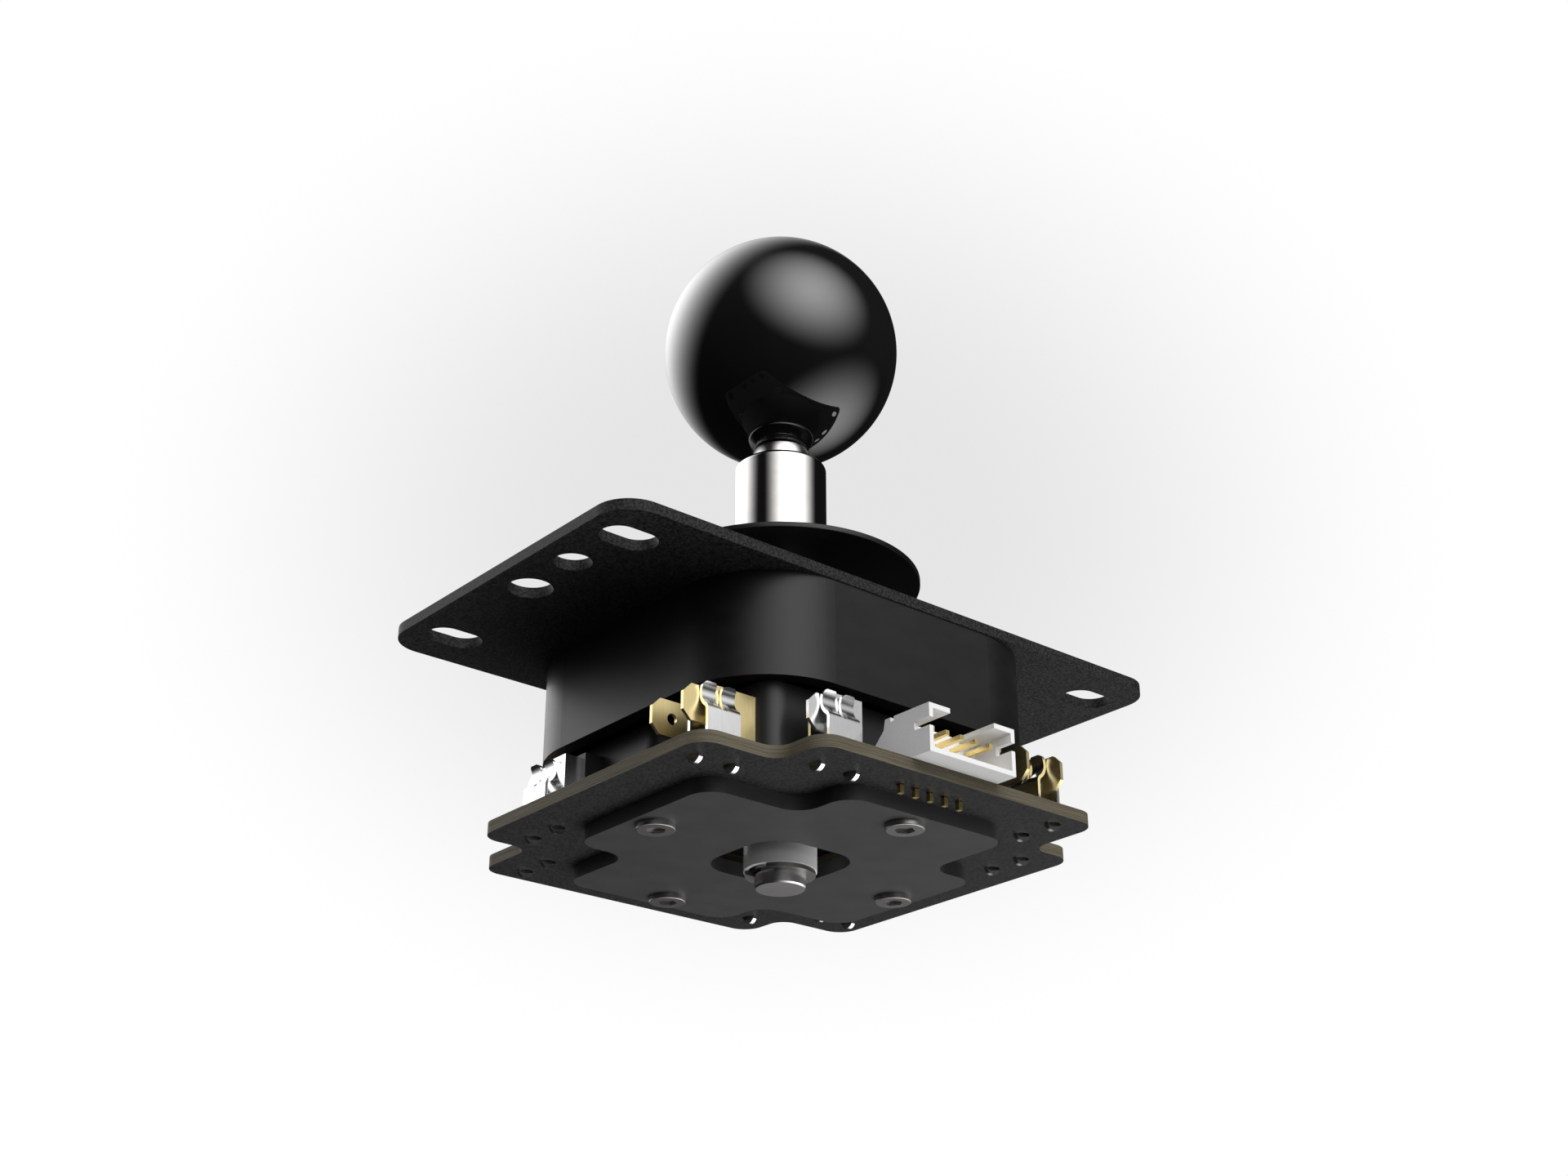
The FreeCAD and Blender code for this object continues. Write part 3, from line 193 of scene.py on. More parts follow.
class Graph:
    """A node tree to which nodes are added one by one."""

    def __init__(self, tree):
        self.tree = tree
        self.tree.nodes.clear()

    def node(self, kind, settings=None, sockets=None, output=0):
        """Adds a node: its settings first, then the values or links of its sockets."""
        made = self.tree.nodes.new(kind)
        for key, setting in (settings or {}).items():
            setattr(made, key, setting)
        for key, given in (sockets or {}).items():
            if isinstance(given, Wire):
                self.tree.links.new(given.socket, made.inputs[key])
            else:
                made.inputs[key].default_value = given
        return Wire(self, made.outputs[output]) if made.outputs else None

    def part(self, vector, output):
        """The x (0), y (1) or z (2) of a vector."""
        return self.node("ShaderNodeSeparateXYZ", {}, {0: vector}, output=output)

    def vector(self, **parts):
        """A vector from any of x, y and z. The others are 0."""
        return self.node("ShaderNodeCombineXYZ", {},
                         {"xyz".index(axis): part for axis, part in parts.items()})


class Finish(Graph):
    """The node tree of one material, or of the sky."""

    def __init__(self, owner):
        owner.use_nodes = True
        self.owner = owner
        super().__init__(owner.node_tree)

    def place(self):
        return self.node("ShaderNodeTexCoord", output=3)

    def level_faces(self, low, high):
        """1 on faces that look up or down, 0 on upright ones, and a soft step between."""
        normal = self.node("ShaderNodeNewGeometry", output=1)
        return self.part(normal, 2).math("ABSOLUTE").band(low, high)

    def noise(self, size, stretch=(1, 1, 1), detail=2.0, roughness=0.5):
        """Noise with grains about size metres across, squeezed along the axes by stretch."""
        spot = self.node("ShaderNodeVectorMath", {"operation": "MULTIPLY"},
                         {0: self.place(), 1: [axis / size for axis in stretch]})
        return self.node("ShaderNodeTexNoise", {},
                         {"Vector": spot, "Scale": 1.0, "Detail": detail, "Roughness": roughness})

    def mix(self, factor, first, second):
        """Goes from the first colour to the second."""
        return self.node("ShaderNodeMix", {"data_type": "RGBA"},
                         {0: factor, 6: opaque(first), 7: opaque(second)}, output=2)

    def relief(self, height, depth, strength):
        """A bump of depth metres."""
        return self.node("ShaderNodeBump", {},
                         {"Height": height, "Distance": depth, "Strength": strength})

    def surface(self, colour, roughness, relief=None, metal=0.0, gloss=0.5):
        """The shader of a material. Metal and gloss are plain numbers."""
        sockets = {"Base Color": opaque(colour), "Roughness": roughness, "Metallic": metal,
                   "Specular IOR Level": gloss}
        if relief is not None:
            sockets["Normal"] = relief
        shader = self.node("ShaderNodeBsdfPrincipled", {}, sockets)
        self.node("ShaderNodeOutputMaterial", {}, {0: shader})
        return self.owner


def opaque(colour):
    if isinstance(colour, Wire):
        return colour
    return (colour[0], colour[1], colour[2], 1.0)


def toned(colour, share):
    """A plain colour made lighter or darker."""
    return [part * share for part in colour]


def new_finish(name):
    return Finish(bpy.data.materials.new(name))


# Finishes

def powder_coat(name, colour):
    """Black powder coat: a fine grain, fainter on the cut edges than on the faces."""
    f = new_finish(name)
    grain = f.noise(0.34 * MM, detail=3.0, roughness=0.7)
    cloud = f.noise(6 * MM, detail=4.0)
    cut = 1 - f.level_faces(0.5, 0.8)
    face = f.mix(grain.band(0.4, 0.6) * 0.8 + cloud * 0.2, toned(colour, 0.1), toned(colour, 2.2))
    edge = f.mix(grain.band(0.4, 0.6), toned(colour, 0.4), toned(colour, 1.7))
    rough = (grain * 0.2 + 0.42) + cut * 0.05
    return f.surface(f.mix(cut, face, edge), rough, f.relief(grain, 0.06 * MM, 0.9), gloss=0.1)


def moulded_plastic(name, colour, shine, texture=0.14, worn=1.25, gloss=0.5):
    """Moulded plastic with a faint orange peel and slow changes of tone."""
    f = new_finish(name)
    peel = f.noise(texture * MM, detail=3.0)
    flow = f.noise(5 * MM, stretch=(1, 1, 2.2), detail=4.0, roughness=0.6)
    tone = f.mix(flow.band(0.3, 0.7), toned(colour, 1 / worn), toned(colour, worn))
    rough = flow * 0.08 + peel * 0.05 + (shine - 0.065)
    return f.surface(tone, rough, f.relief(peel, 0.006 * MM, 0.5), gloss=gloss)


def gloss_black(name, colour, shine, gloss):
    """Polished black plastic with hairline scuffs."""
    f = new_finish(name)
    scuff = f.noise(0.5 * MM, stretch=(0.15, 1, 1), detail=5.0, roughness=0.7)
    haze = f.noise(7 * MM, detail=3.0)
    rough = scuff.band(0.6, 0.8) * 0.05 + haze * 0.03 + (shine - 0.015)
    return f.surface(f.mix(haze, colour, toned(colour, 1.5)), rough, gloss=gloss)


def circuit_board(name):
    """Dark solder mask with a fine speckle, and layered brown glass cloth on the cut edges."""
    f = new_finish(name)
    speck = f.noise(0.36 * MM, detail=4.0, roughness=0.75)
    weave = f.noise(1.1 * MM, detail=2.0)
    mask = f.mix(speck.band(0.36, 0.66), (0.007, 0.007, 0.0074), (0.038, 0.038, 0.0385))
    plies = f.noise(0.13 * MM, stretch=(0.008, 0.008, 1), detail=3.0, roughness=0.7)
    chips = f.noise(0.3 * MM, stretch=(0.5, 0.5, 1), detail=3.0)
    laminate = f.mix(plies.band(0.36, 0.64) * 0.8 + chips * 0.2,
                     (0.058, 0.049, 0.033), (0.135, 0.118, 0.084))
    cut = 1 - f.level_faces(0.5, 0.8)
    rough = speck * 0.2 + 0.4 + cut * 0.2
    bumps = (speck * 0.7 + weave * 0.3) * (1 - cut) + plies * cut
    return f.surface(f.mix(cut, mask, laminate), rough, f.relief(bumps, 0.03 * MM, 0.7),
                     gloss=0.16)


def sheet_metal(name, colour, stained, glint, shine):
    """Rolled and stamped sheet: faces brushed along X, with a faint stain."""
    f = new_finish(name)
    brush = f.noise(0.12 * MM, stretch=(1, 0.06, 0.06), detail=3.0, roughness=0.6)
    stain = f.noise(6 * MM, detail=2.0, roughness=0.4)
    tone = f.mix(stain.band(0.4, 0.9) * 0.3, colour, stained)
    shade = f.mix(brush.band(0.35, 0.7) * 0.3, tone, glint)
    rough = brush * 0.1 + stain * 0.03 + (shine - 0.065)
    return f.surface(shade, rough, f.relief(brush, 0.003 * MM, 0.4), metal=1.0)


def turned_metal(name, colour, shine, pitch=0.12, groove=0.004, dull_ends=0.0):
    """Metal turned or drawn about Z: fine rings, slow changes of tone and duller ends."""
    f = new_finish(name)
    rings = f.noise(pitch * MM, stretch=(0.02, 0.02, 1), detail=3.0, roughness=0.6)
    haze = f.noise(3 * MM, detail=3.0)
    tone = f.mix(haze.band(0.35, 0.75), colour, toned(colour, 0.9))
    rough = rings * 0.05 + haze * 0.05 + (shine - 0.05) + f.level_faces(0.85, 0.97) * dull_ends
    return f.surface(tone, rough, f.relief(rings, groove * MM, 0.35), metal=1.0)


def cast_steel(name, colour, shine):
    """Dull rolled or forged steel for screws, legs, leaves and rings."""
    f = new_finish(name)
    grit = f.noise(0.06 * MM, detail=3.0, roughness=0.6)
    stain = f.noise(3 * MM, detail=2.0)
    tone = f.mix(stain.band(0.35, 0.75), colour, toned(colour, 0.88))
    rough = grit * 0.1 + stain * 0.04 + (shine - 0.07)
    return f.surface(tone, rough, f.relief(grit, 0.002 * MM, 0.4), metal=1.0)


def white_nylon(name, colour):
    """White moulded nylon, with a faint grain and slow changes of tone."""
    f = new_finish(name)
    grain = f.noise(0.22 * MM, detail=4.0, roughness=0.7)
    flow = f.noise(2.4 * MM, detail=3.0)
    tone = f.mix(grain.band(0.3, 0.75) * 0.6 + flow * 0.4, toned(colour, 0.86), colour)
    rough = grain * 0.15 + 0.38
    return f.surface(tone, rough, f.relief(grain, 0.01 * MM, 0.5), gloss=0.4)


def pale_floor(name, colour):
    """Pale studio floor that fades into the backdrop. It is seen from above only, so that it
    hides nothing from below."""
    f = new_finish(name)
    grain = f.noise(0.4 * MM, detail=3.0)
    top = f.node("ShaderNodeBsdfDiffuse", {}, {"Color": f.mix(grain, toned(colour, 0.97), colour)})
    clear = f.node("ShaderNodeBsdfTransparent")
    under = f.node("ShaderNodeNewGeometry", output=6)
    away = f.node("ShaderNodeVectorMath", {"operation": "LENGTH"}, {0: f.place()}, output=1)
    shown = (1 - under) * (1 - away.band(*FLOOR_FADE))
    f.node("ShaderNodeOutputMaterial", {},
           {0: f.node("ShaderNodeMixShader", {}, {0: shown, 1: clear, 2: top})})
    return f.owner


def dress(finish, *nodes):
    """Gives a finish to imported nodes."""
    for name in nodes:
        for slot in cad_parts[name].material_slots:
            slot.material = finish


# Shapes

def new_piece(name, mesh, finish, body=None):
    """Puts a finished mesh in the scene and lets it ride on a body, if one is given."""
    piece = bpy.data.objects.new(name, mesh)
    bpy.context.scene.collection.objects.link(piece)
    mesh.materials.clear()
    mesh.materials.append(finish)
    if body is not None:
        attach(piece, body)
    return piece


def points_mesh(name, points):
    """A mesh of loose points, from which a geometry node tree starts."""
    mesh = bpy.data.meshes.new(name)
    mesh.from_pydata(points, [], [])
    return mesh


def closed_mesh(name, bm, edges):
    """Ends a bmesh as a mesh that faces outwards and is smooth up to an angle in degrees."""
    bmesh.ops.recalc_face_normals(bm, faces=bm.faces)
    mesh = bpy.data.meshes.new(name)
    bm.to_mesh(mesh)
    bm.free()
    if "custom_normal" in mesh.attributes:
        mesh.attributes.remove(mesh.attributes["custom_normal"])
    mesh.shade_smooth()
    mesh.set_sharp_from_angle(angle=math.radians(edges))
    return mesh


def merged_copy(node):
    """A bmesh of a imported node, with its loose triangles joined."""
    bm = bmesh.new()
    bm.from_mesh(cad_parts[node].data)
    bmesh.ops.remove_doubles(bm, verts=bm.verts, dist=PACKED_WELD)
    return bm


def arc(centre, radius, first, last, count):
    """Points (radius, height) of an arc, angles in degrees from the outward direction."""
    angles = [math.radians(first + (last - first) * i / count) for i in range(count + 1)]
    return [(centre[0] + radius * math.cos(angle), centre[1] + radius * math.sin(angle))
            for angle in angles]


def turned_mesh(name, profile, steps, ring=False):
    """Turns a profile of (radius, height) in millimetres about Z. The profile runs up the
    outside. A ring's last point joins its first, and another profile closes on the axis."""
    bm = bmesh.new()
    rows = []
    for radius, height in profile:
        if radius < 1e-6:
            rows.append([bm.verts.new((0, 0, height * MM))] * steps)
            continue
        rows.append([bm.verts.new((radius * MM * math.cos(math.tau * i / steps),
                                   radius * MM * math.sin(math.tau * i / steps), height * MM))
                     for i in range(steps)])
    pairs = list(zip(rows, rows[1:])) + ([(rows[-1], rows[0])] if ring else [])
    for low, high in pairs:
        for i in range(steps):
            j = (i + 1) % steps
            corners = []
            for corner in (low[i], low[j], high[j], high[i]):
                if corner not in corners:
                    corners.append(corner)
            if len(corners) > 2:
                bm.faces.new(corners)
    return closed_mesh(name, bm, TURNED_EDGES)


def coil_mesh(name, node, first, last):
    """The run of a coil spring between two fractions of its height, in a node's box."""
    low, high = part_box(node)
    radius = (high.x - low.x - SPRING_WIRE) / 2
    rise = high.z - low.z - SPRING_WIRE
    sections, sides = 48 * SPRING_TURNS, 16
    bm = bmesh.new()
    rows = []
    for i in range(sections + 1):
        if not first <= i / sections <= last:
            continue
        angle = math.tau * SPRING_TURNS * i / sections
        out = Vector((math.cos(angle), math.sin(angle), 0))
        climb = rise / (math.tau * SPRING_TURNS * radius)
        side = out.cross(Vector((-out.y, out.x, climb)).normalized())
        middle = out * radius + Vector((0, 0, low.z + SPRING_WIRE / 2 + rise * i / sections))
        rows.append([bm.verts.new(middle + (out * math.cos(math.tau * k / sides)
                                            + side * math.sin(math.tau * k / sides))
                                  * SPRING_WIRE / 2) for k in range(sides)])
    for row, after in zip(rows, rows[1:]):
        for k in range(sides):
            bm.faces.new((row[k - 1], row[k], after[k], after[k - 1]))
    bm.faces.new(rows[0])
    bm.faces.new(rows[-1])
    return closed_mesh(name, bm, SPRING_EDGES)


def cut_copy(name, node, level):
    """A copy of a node's mesh without what lies below a level, closed again."""
    bm = merged_copy(node)
    bmesh.ops.delete(bm, geom=[v for v in bm.verts if v.co.z < level], context="VERTS")
    bmesh.ops.holes_fill(bm, edges=[e for e in bm.edges if e.is_boundary], sides=0)
    return closed_mesh(name, bm, TURNED_EDGES)


def drilled_copy(name, node, spots, radius):
    """A copy of a node's mesh with the holes at the spots opened to a radius."""
    bm = merged_copy(node)
    moved = 0
    for vertex in bm.verts:
        for x, y in spots:
            out = math.hypot(vertex.co.x - x, vertex.co.y - y)
            if out < PACKED_HOLE * 1.02:
                vertex.co.x = x + (vertex.co.x - x) * radius / out
                vertex.co.y = y + (vertex.co.y - y) * radius / out
                moved += 1
    if moved < len(spots) * HOLE_POINTS:
        raise RuntimeError("the lead holes are not where they should be")
    return closed_mesh(name, bm, BOARD_EDGES)


def leg_spots():
    """Where the clips' legs go through the board, four turns of each in a row."""
    spots = []
    for x, y in CLIP_MIDDLES:
        for shift in (-LEG_SHIFT, LEG_SHIFT):
            for turn in range(4):
                across, along = math.cos(turn * QUARTER), math.sin(turn * QUARTER)
                spots.append(((x + shift) * MM * across - y * MM * along,
                              (x + shift) * MM * along + y * MM * across))
    return spots


# Geometry nodes

def new_tree(name, seed, lengths, steps, result):
    """A geometry node tree with named inputs: the seed, lengths in millimetres, a number
    of steps and a finish. Gives the tree, its graph and its inputs by name."""
    tree = bpy.data.node_groups.new(name, "GeometryNodeTree")
    face = tree.interface
    face.new_socket(seed, in_out="INPUT", socket_type="NodeSocketGeometry")
    for label, default in lengths:
        item = face.new_socket(label, in_out="INPUT", socket_type="NodeSocketFloat")
        item.subtype = "DISTANCE"
        item.default_value = default * MM
    item = face.new_socket("Steps", in_out="INPUT", socket_type="NodeSocketInt")
    item.default_value = steps
    face.new_socket("Finish", in_out="INPUT", socket_type="NodeSocketMaterial")
    face.new_socket(result, in_out="OUTPUT", socket_type="NodeSocketGeometry")
    graph = Graph(tree)
    start = tree.nodes.new("NodeGroupInput")
    return tree, graph, {socket.name: Wire(graph, socket) for socket in start.outputs
                         if socket.name}


def gathered(graph, parts):
    """One geometry from several."""
    whole = graph.node("GeometryNodeJoinGeometry")
    for part in parts:
        graph.tree.links.new(part.socket, whole.socket.node.inputs[0])
    return whole


def joined(graph, parts):
    """One geometry from several, with the points where they meet merged."""
    return graph.node("GeometryNodeMergeByDistance", {},
                      {"Geometry": gathered(graph, parts), "Distance": GROWN_WELD})


def set_out(graph, seed, piece, upside_down, finish, result):
    """Ends a tree: a copy of the piece at each point, each a quarter turn from the last."""
    points = graph.node("GeometryNodeMeshToPoints", {}, {"Mesh": seed})
    turn = graph.vector(x=math.pi if upside_down else 0.0,
                        z=graph.node("GeometryNodeInputIndex") * QUARTER)
    copies = graph.node("GeometryNodeInstanceOnPoints", {},
                        {"Points": points, "Instance": piece, "Rotation": turn})
    real = graph.node("GeometryNodeRealizeInstances", {}, {"Geometry": copies})
    paint = graph.node("GeometryNodeSetMaterial", {}, {"Geometry": real, "Material": finish})
    graph.node("NodeGroupOutput", {}, {result: paint})


def leg_tree():
    """Geometry nodes that hang a flat leg with a rounded tip from each point."""
    tree, g, given = new_tree("Flat legs", "Spots", (
        ("Width", 2.24), ("Thickness", 0.6), ("Length", 2.53), ("Tip radius", 1.36)), 25, "Legs")
    width, thick, length = given["Width"], given["Thickness"], given["Length"]
    tip = given["Tip radius"]
    grid = g.node("GeometryNodeMeshGrid", {}, {"Size X": width, "Size Y": 1.0,
                                               "Vertices X": given["Steps"], "Vertices Y": 2})
    spot = g.node("GeometryNodeInputPosition")
    across, level = g.part(spot, 0), g.part(spot, 1)
    rounded = tip - (tip * tip - across * across) ** 0.5 - length
    outline = g.vector(x=thick / -2, y=across, z=rounded * (0.5 - level))
    face = g.node("GeometryNodeSetPosition", {}, {"Geometry": grid, "Position": outline})
    body = g.node("GeometryNodeExtrudeMesh", {"mode": "FACES"},
                  {"Mesh": face, "Offset": (1.0, 0.0, 0.0), "Offset Scale": thick,
                   "Individual": False})
    set_out(g, given["Spots"], joined(g, (face, body)), False, given["Finish"], "Legs")
    return tree


def screw_tree():
    """Geometry nodes that set a low round head screw with a hexagon socket at each point.
    A screw hangs down from its point, which is the middle of the seat under its head, and
    each one is a quarter turn from the one before."""
    tree, g, given = new_tree("Socket screws", "Seats", (
        ("Head radius", 2.6), ("Head height", 0.75), ("Edge", 0.12), ("Socket radius", 1.39),
        ("Socket depth", 0.5), ("Shank radius", 1.5), ("Shank length", 3.66)), 96, "Screws")
    head, tall, edge = given["Head radius"], given["Head height"], given["Edge"]
    hexagon, sunk = given["Socket radius"], tall - given["Socket depth"]
    shank, length = given["Shank radius"], given["Shank length"]
    steps, sides = given["Steps"], 6

    def lifted(part, height):
        return g.node("GeometryNodeTransform", {}, {"Geometry": part,
                                                    "Translation": g.vector(z=height)})

    def wall(count, low, high):
        """The open side between two levels, each a radius and a height."""
        cone = g.node("GeometryNodeMeshCone", {"fill_type": "NONE"},
                      {"Vertices": count, "Radius Bottom": low[0], "Radius Top": high[0],
                       "Depth": high[1] - low[1]})
        return lifted(cone, low[1])

    def lid(height, *rims):
        """A flat face within the first rim, open inside the second one."""
        rings = [g.node("GeometryNodeCurvePrimitiveCircle", {}, {"Resolution": count,
                                                                 "Radius": radius})
                 for count, radius in rims]
        return lifted(g.node("GeometryNodeFillCurve", {}, {0: gathered(g, rings)}), height)

    # The rim is rounded in two steps. This is how far their middle is in from the corner.
    nearly = edge * 0.293
    parts = [
        wall(steps, (head, 0.0), (head, tall - edge)),
        wall(steps, (head, tall - edge), (head - nearly, tall - nearly)),
        wall(steps, (head - nearly, tall - nearly), (head - edge, tall)),
        lid(tall, (steps, head - edge), (sides, hexagon)),
        wall(sides, (hexagon, sunk), (hexagon, tall)),
        lid(sunk, (sides, hexagon)),
        lid(0.0, (steps, head), (steps, shank)),
        wall(steps, (shank, 0 - length), (shank, 0.0)),
        lid(0 - length, (steps, shank)),
    ]
    set_out(g, given["Seats"], joined(g, parts), True, given["Finish"], "Screws")
    return tree


def grown_mesh(name, seed, tree, inputs):
    """Runs a geometry node tree on a seed mesh and returns the result as a plain mesh."""
    holder = bpy.data.objects.new(name + "_seed", seed)
    bpy.context.scene.collection.objects.link(holder)
    modifier = holder.modifiers.new("Grow", "NODES")
    modifier.node_group = tree
    for item in tree.interface.items_tree:
        if item.in_out == "INPUT" and item.name in inputs:
            modifier[item.identifier] = inputs[item.name]
    graph = bpy.context.evaluated_depsgraph_get()
    grown = bpy.data.meshes.new_from_object(holder.evaluated_get(graph), depsgraph=graph)
    bpy.data.objects.remove(holder)
    bm = bmesh.new()
    bm.from_mesh(grown)
    bpy.data.meshes.remove(grown)
    return closed_mesh(name, bm, FINE_EDGES)


# Profiles of the turned pieces, as points (radius, height) in millimetres

def ball_profile(radius, steps):
    """A ball with a flat foot and a bore for the shaft's neck."""
    low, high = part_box("ball_top")
    foot, top = low.z / MM, high.z / MM
    middle = top - radius
    flat = math.sqrt(radius ** 2 - (middle - foot) ** 2)
    start = -math.degrees(math.acos(flat / radius))
    bore, depth = 3.05, 11.05
    profile = [(0, foot + depth), (bore, foot + depth), (bore, foot), (flat - 0.25, foot)]
    return profile + arc((0, middle), radius, start + 0.4, 90, steps // 2)[:-1] + [(0, top)]


def shaft_profile():
    """A shaft with a groove for its clip, a thicker grip inside the collar and a neck."""
    low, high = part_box("shaft")
    end, top = low.z / MM, high.z / MM
    ball_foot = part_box("ball_top")[0].z / MM
    stem, grip, neck = 3.5, 4.08, 3.0
    groove, groove_low, groove_high = 2.8, -31.75, -31.15
    grip_foot, slope = -1.0, 0.25
    return [(0, end), (stem - 0.2, end), (stem, end + 0.2), (stem, groove_low),
            (groove, groove_low), (groove, groove_high), (stem, groove_high),
            (stem, grip_foot), (grip - slope, grip_foot), (grip, grip_foot + slope),
            (grip, ball_foot - slope), (grip - slope, ball_foot), (neck, ball_foot),
            (neck, top - 0.2), (neck - 0.2, top), (0, top)]


def collar_profile():
    """A sleeve with a round top, just clear of the pivot that it stands on."""
    low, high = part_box("shaft_collar")
    foot, top = low.z / MM + 0.02, high.z / MM
    outer, bore, corner = (high.x - low.x) / 2 / MM, 4.13, 0.7
    profile = [(bore, foot), (outer - 0.15, foot), (outer, foot + 0.15)]
    profile += arc((outer - corner, top - corner), corner, 0, 90, 10)
    return profile + [(bore + 0.2, top), (bore, top - 0.2)]


def washer_profile(edge):
    """A thin disc with a rounded rim and a wide bore."""
    low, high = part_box("dust_washer")
    foot, top = low.z / MM, high.z / MM
    outer, bore = (high.x - low.x) / 2 / MM, 7.0
    profile = [(bore, foot)] + arc((outer - edge, foot + edge), edge, -90, 0, 4)
    return profile + arc((outer - edge, top - edge), edge, 0, 90, 4) + [(bore, top)]


# Settings

class StickSizes(bpy.types.PropertyGroup):
    """Sizes of the pieces that this script makes."""

    turning_steps: IntProperty(
        name="Turning steps", description="Facets round each turned piece",
        default=192, min=48, max=360)
    ball_radius: FloatProperty(
        name="Ball radius", description="Radius of the ball top", unit="LENGTH",
        default=(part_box("ball_top")[1].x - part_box("ball_top")[0].x) / 2)
    washer_round: FloatProperty(
        name="Washer edge", description="Rounding of the dust washer's rim",
        default=0.12 * MM, unit="LENGTH")
    lead_hole: FloatProperty(
        name="Lead hole", description="Radius of the holes for the clips' legs",
        default=1.13 * MM, unit="LENGTH")
    leg_drop: FloatProperty(
        name="Leg drop", description="How far the clips' legs stand out below the board",
        default=0.87 * MM, unit="LENGTH")
    screw_head: FloatProperty(
        name="Screw head", description="Radius of the heads of the gate's screws",
        default=2.6 * MM, unit="LENGTH")
    screw_edge: FloatProperty(
        name="Screw edge", description="Rounding of the rims of the gate's screws",
        default=0.12 * MM, unit="LENGTH")


class StickColours(bpy.types.PropertyGroup):
    """Colours that a user may want to change."""

    ball: FloatVectorProperty(
        name="Ball", description="Colour of the ball top", subtype="COLOR",
        default=(0.006, 0.006, 0.006), min=0, max=1)
    metalwork: FloatVectorProperty(
        name="Mounting plate", description="Powder coat of the plate", subtype="COLOR",
        default=(0.0185, 0.0185, 0.0187), min=0, max=1)
    housing: FloatVectorProperty(
        name="Housing", description="Plastic of the housing", subtype="COLOR",
        default=(0.0065, 0.0065, 0.0065), min=0, max=1)
    gate: FloatVectorProperty(
        name="Gate", description="Plastic of the gate plate", subtype="COLOR",
        default=(0.032, 0.032, 0.032), min=0, max=1)
    connector: FloatVectorProperty(
        name="Connector", description="Plastic of the wire connector", subtype="COLOR",
        default=(0.82, 0.82, 0.815), min=0, max=1)
    floor: FloatVectorProperty(
        name="Floor", description="Colour of the studio floor", subtype="COLOR",
        default=(0.42, 0.42, 0.42), min=0, max=1)


# The stage

def studio_direction(turn, lift):
    """A direction from the object: turn degrees to the right of the way back to the
    camera, and lift degrees above the horizon."""
    ahead = Vector((-math.sin(CAMERA_HEADING), math.cos(CAMERA_HEADING), 0))
    right = Vector((ahead.y, -ahead.x, 0))
    turn, lift = math.radians(turn), math.radians(lift)
    flat = right * math.sin(turn) - ahead * math.cos(turn)
    return flat * math.cos(lift) + Vector((0, 0, math.sin(lift)))


def share_along(sky, ray, direction):
    """How much a ray of the sky runs along a direction."""
    return sky.node("ShaderNodeVectorMath", {"operation": "DOT_PRODUCT"},
                    {0: ray, 1: direction}, output=1)


def soft_light(sky, ray, turn, lift, reach, strength):
    """A round soft light on the sky, brightest in its middle and gone at reach degrees."""
    away = share_along(sky, ray, studio_direction(turn, lift))
    angle = away.math("ARCCOSINE") / math.radians(reach)
    return (1 - angle.band(0.0, 1.0)) * strength


def backdrop_with_painted_shade(sky, ray):
    """The white backdrop, a little greyer behind the object as the camera sees it: painted shade.
    """
    ahead = -studio_direction(0, -math.degrees(CAMERA_LIFT))
    right = studio_direction(90, 0)
    up = right.cross(ahead)
    across, rise, depth = [share_along(sky, ray, axis) for axis in (right, up, ahead)]
    across, rise = across / depth, (rise / depth - PATCH_RISE) * PATCH_SQUEEZE
    ring = (across * across + rise * rise) ** 0.5
    in_front = depth.band(0.0, 0.5)
    # The patch is painted shade: the backdrop greyer towards its middle, behind the object.
    patch = ring.band(*PATCH_FADE) * (1 - PATCH_TONE) + PATCH_TONE
    return patch * in_front + (1 - in_front)


class STICK_OT_stage(bpy.types.Operator):
    """Sets up the camera, the soft lights, the backdrop and the floor"""

    bl_idname = "stick.stage"
    bl_label = "Stage"

    def execute(self, context):
        scene = context.scene
        lens = bpy.data.cameras.new("View from below")
        lens.lens = CAMERA_LENS
        lens.sensor_width = CAMERA_SENSOR
        lens.clip_start = CAMERA_NEAREST
        camera = bpy.data.objects.new("View from below", lens)
        camera.location = CAMERA_SPOT
        camera.rotation_euler = (QUARTER + CAMERA_LIFT, 0, CAMERA_HEADING)
        scene.collection.objects.link(camera)
        scene.camera = camera
        scene.view_settings.view_transform = "Standard"

        world = bpy.data.worlds.new("Soft studio")
        scene.world = world
        sky = Finish(world)
        ray = sky.node("ShaderNodeTexCoord", output=0)
        glow = sky.node("ShaderNodeLightPath", output=2) * ROOM_SPREAD + ROOM_GLOW
        for light in (FRONT_LIGHT, BACK_LIGHT, UNDER_LIGHT):
            glow = glow + soft_light(sky, ray, *light)
        tone = backdrop_with_painted_shade(sky, ray)
        lit = sky.node("ShaderNodeBackground", {}, {0: (1, 1, 1, 1), 1: glow})
        white = sky.node("ShaderNodeBackground", {}, {0: sky.vector(x=tone, y=tone, z=tone)})
        seen = sky.node("ShaderNodeLightPath")
        sky.node("ShaderNodeOutputWorld", {},
                 {0: sky.node("ShaderNodeMixShader", {}, {0: seen, 1: lit, 2: white})})

        low, half = cad_box[0].z - FLOOR_GAP, FLOOR_HALF_WIDTH
        ground = bpy.data.meshes.new("Floor")
        ground.from_pydata([(-half, -half, low), (half, -half, low), (half, half, low),
                            (-half, half, low)], [], [(0, 1, 2, 3)])
        ground.materials.append(pale_floor("Pale floor", scene.stick_colours.floor))
        floor = bpy.data.objects.new("Floor", ground)
        scene.collection.objects.link(floor)
        for kind in ("diffuse", "glossy", "transmission", "volume_scatter", "shadow"):
            setattr(floor, "visible_" + kind, False)
        return {"FINISHED"}


# The pieces

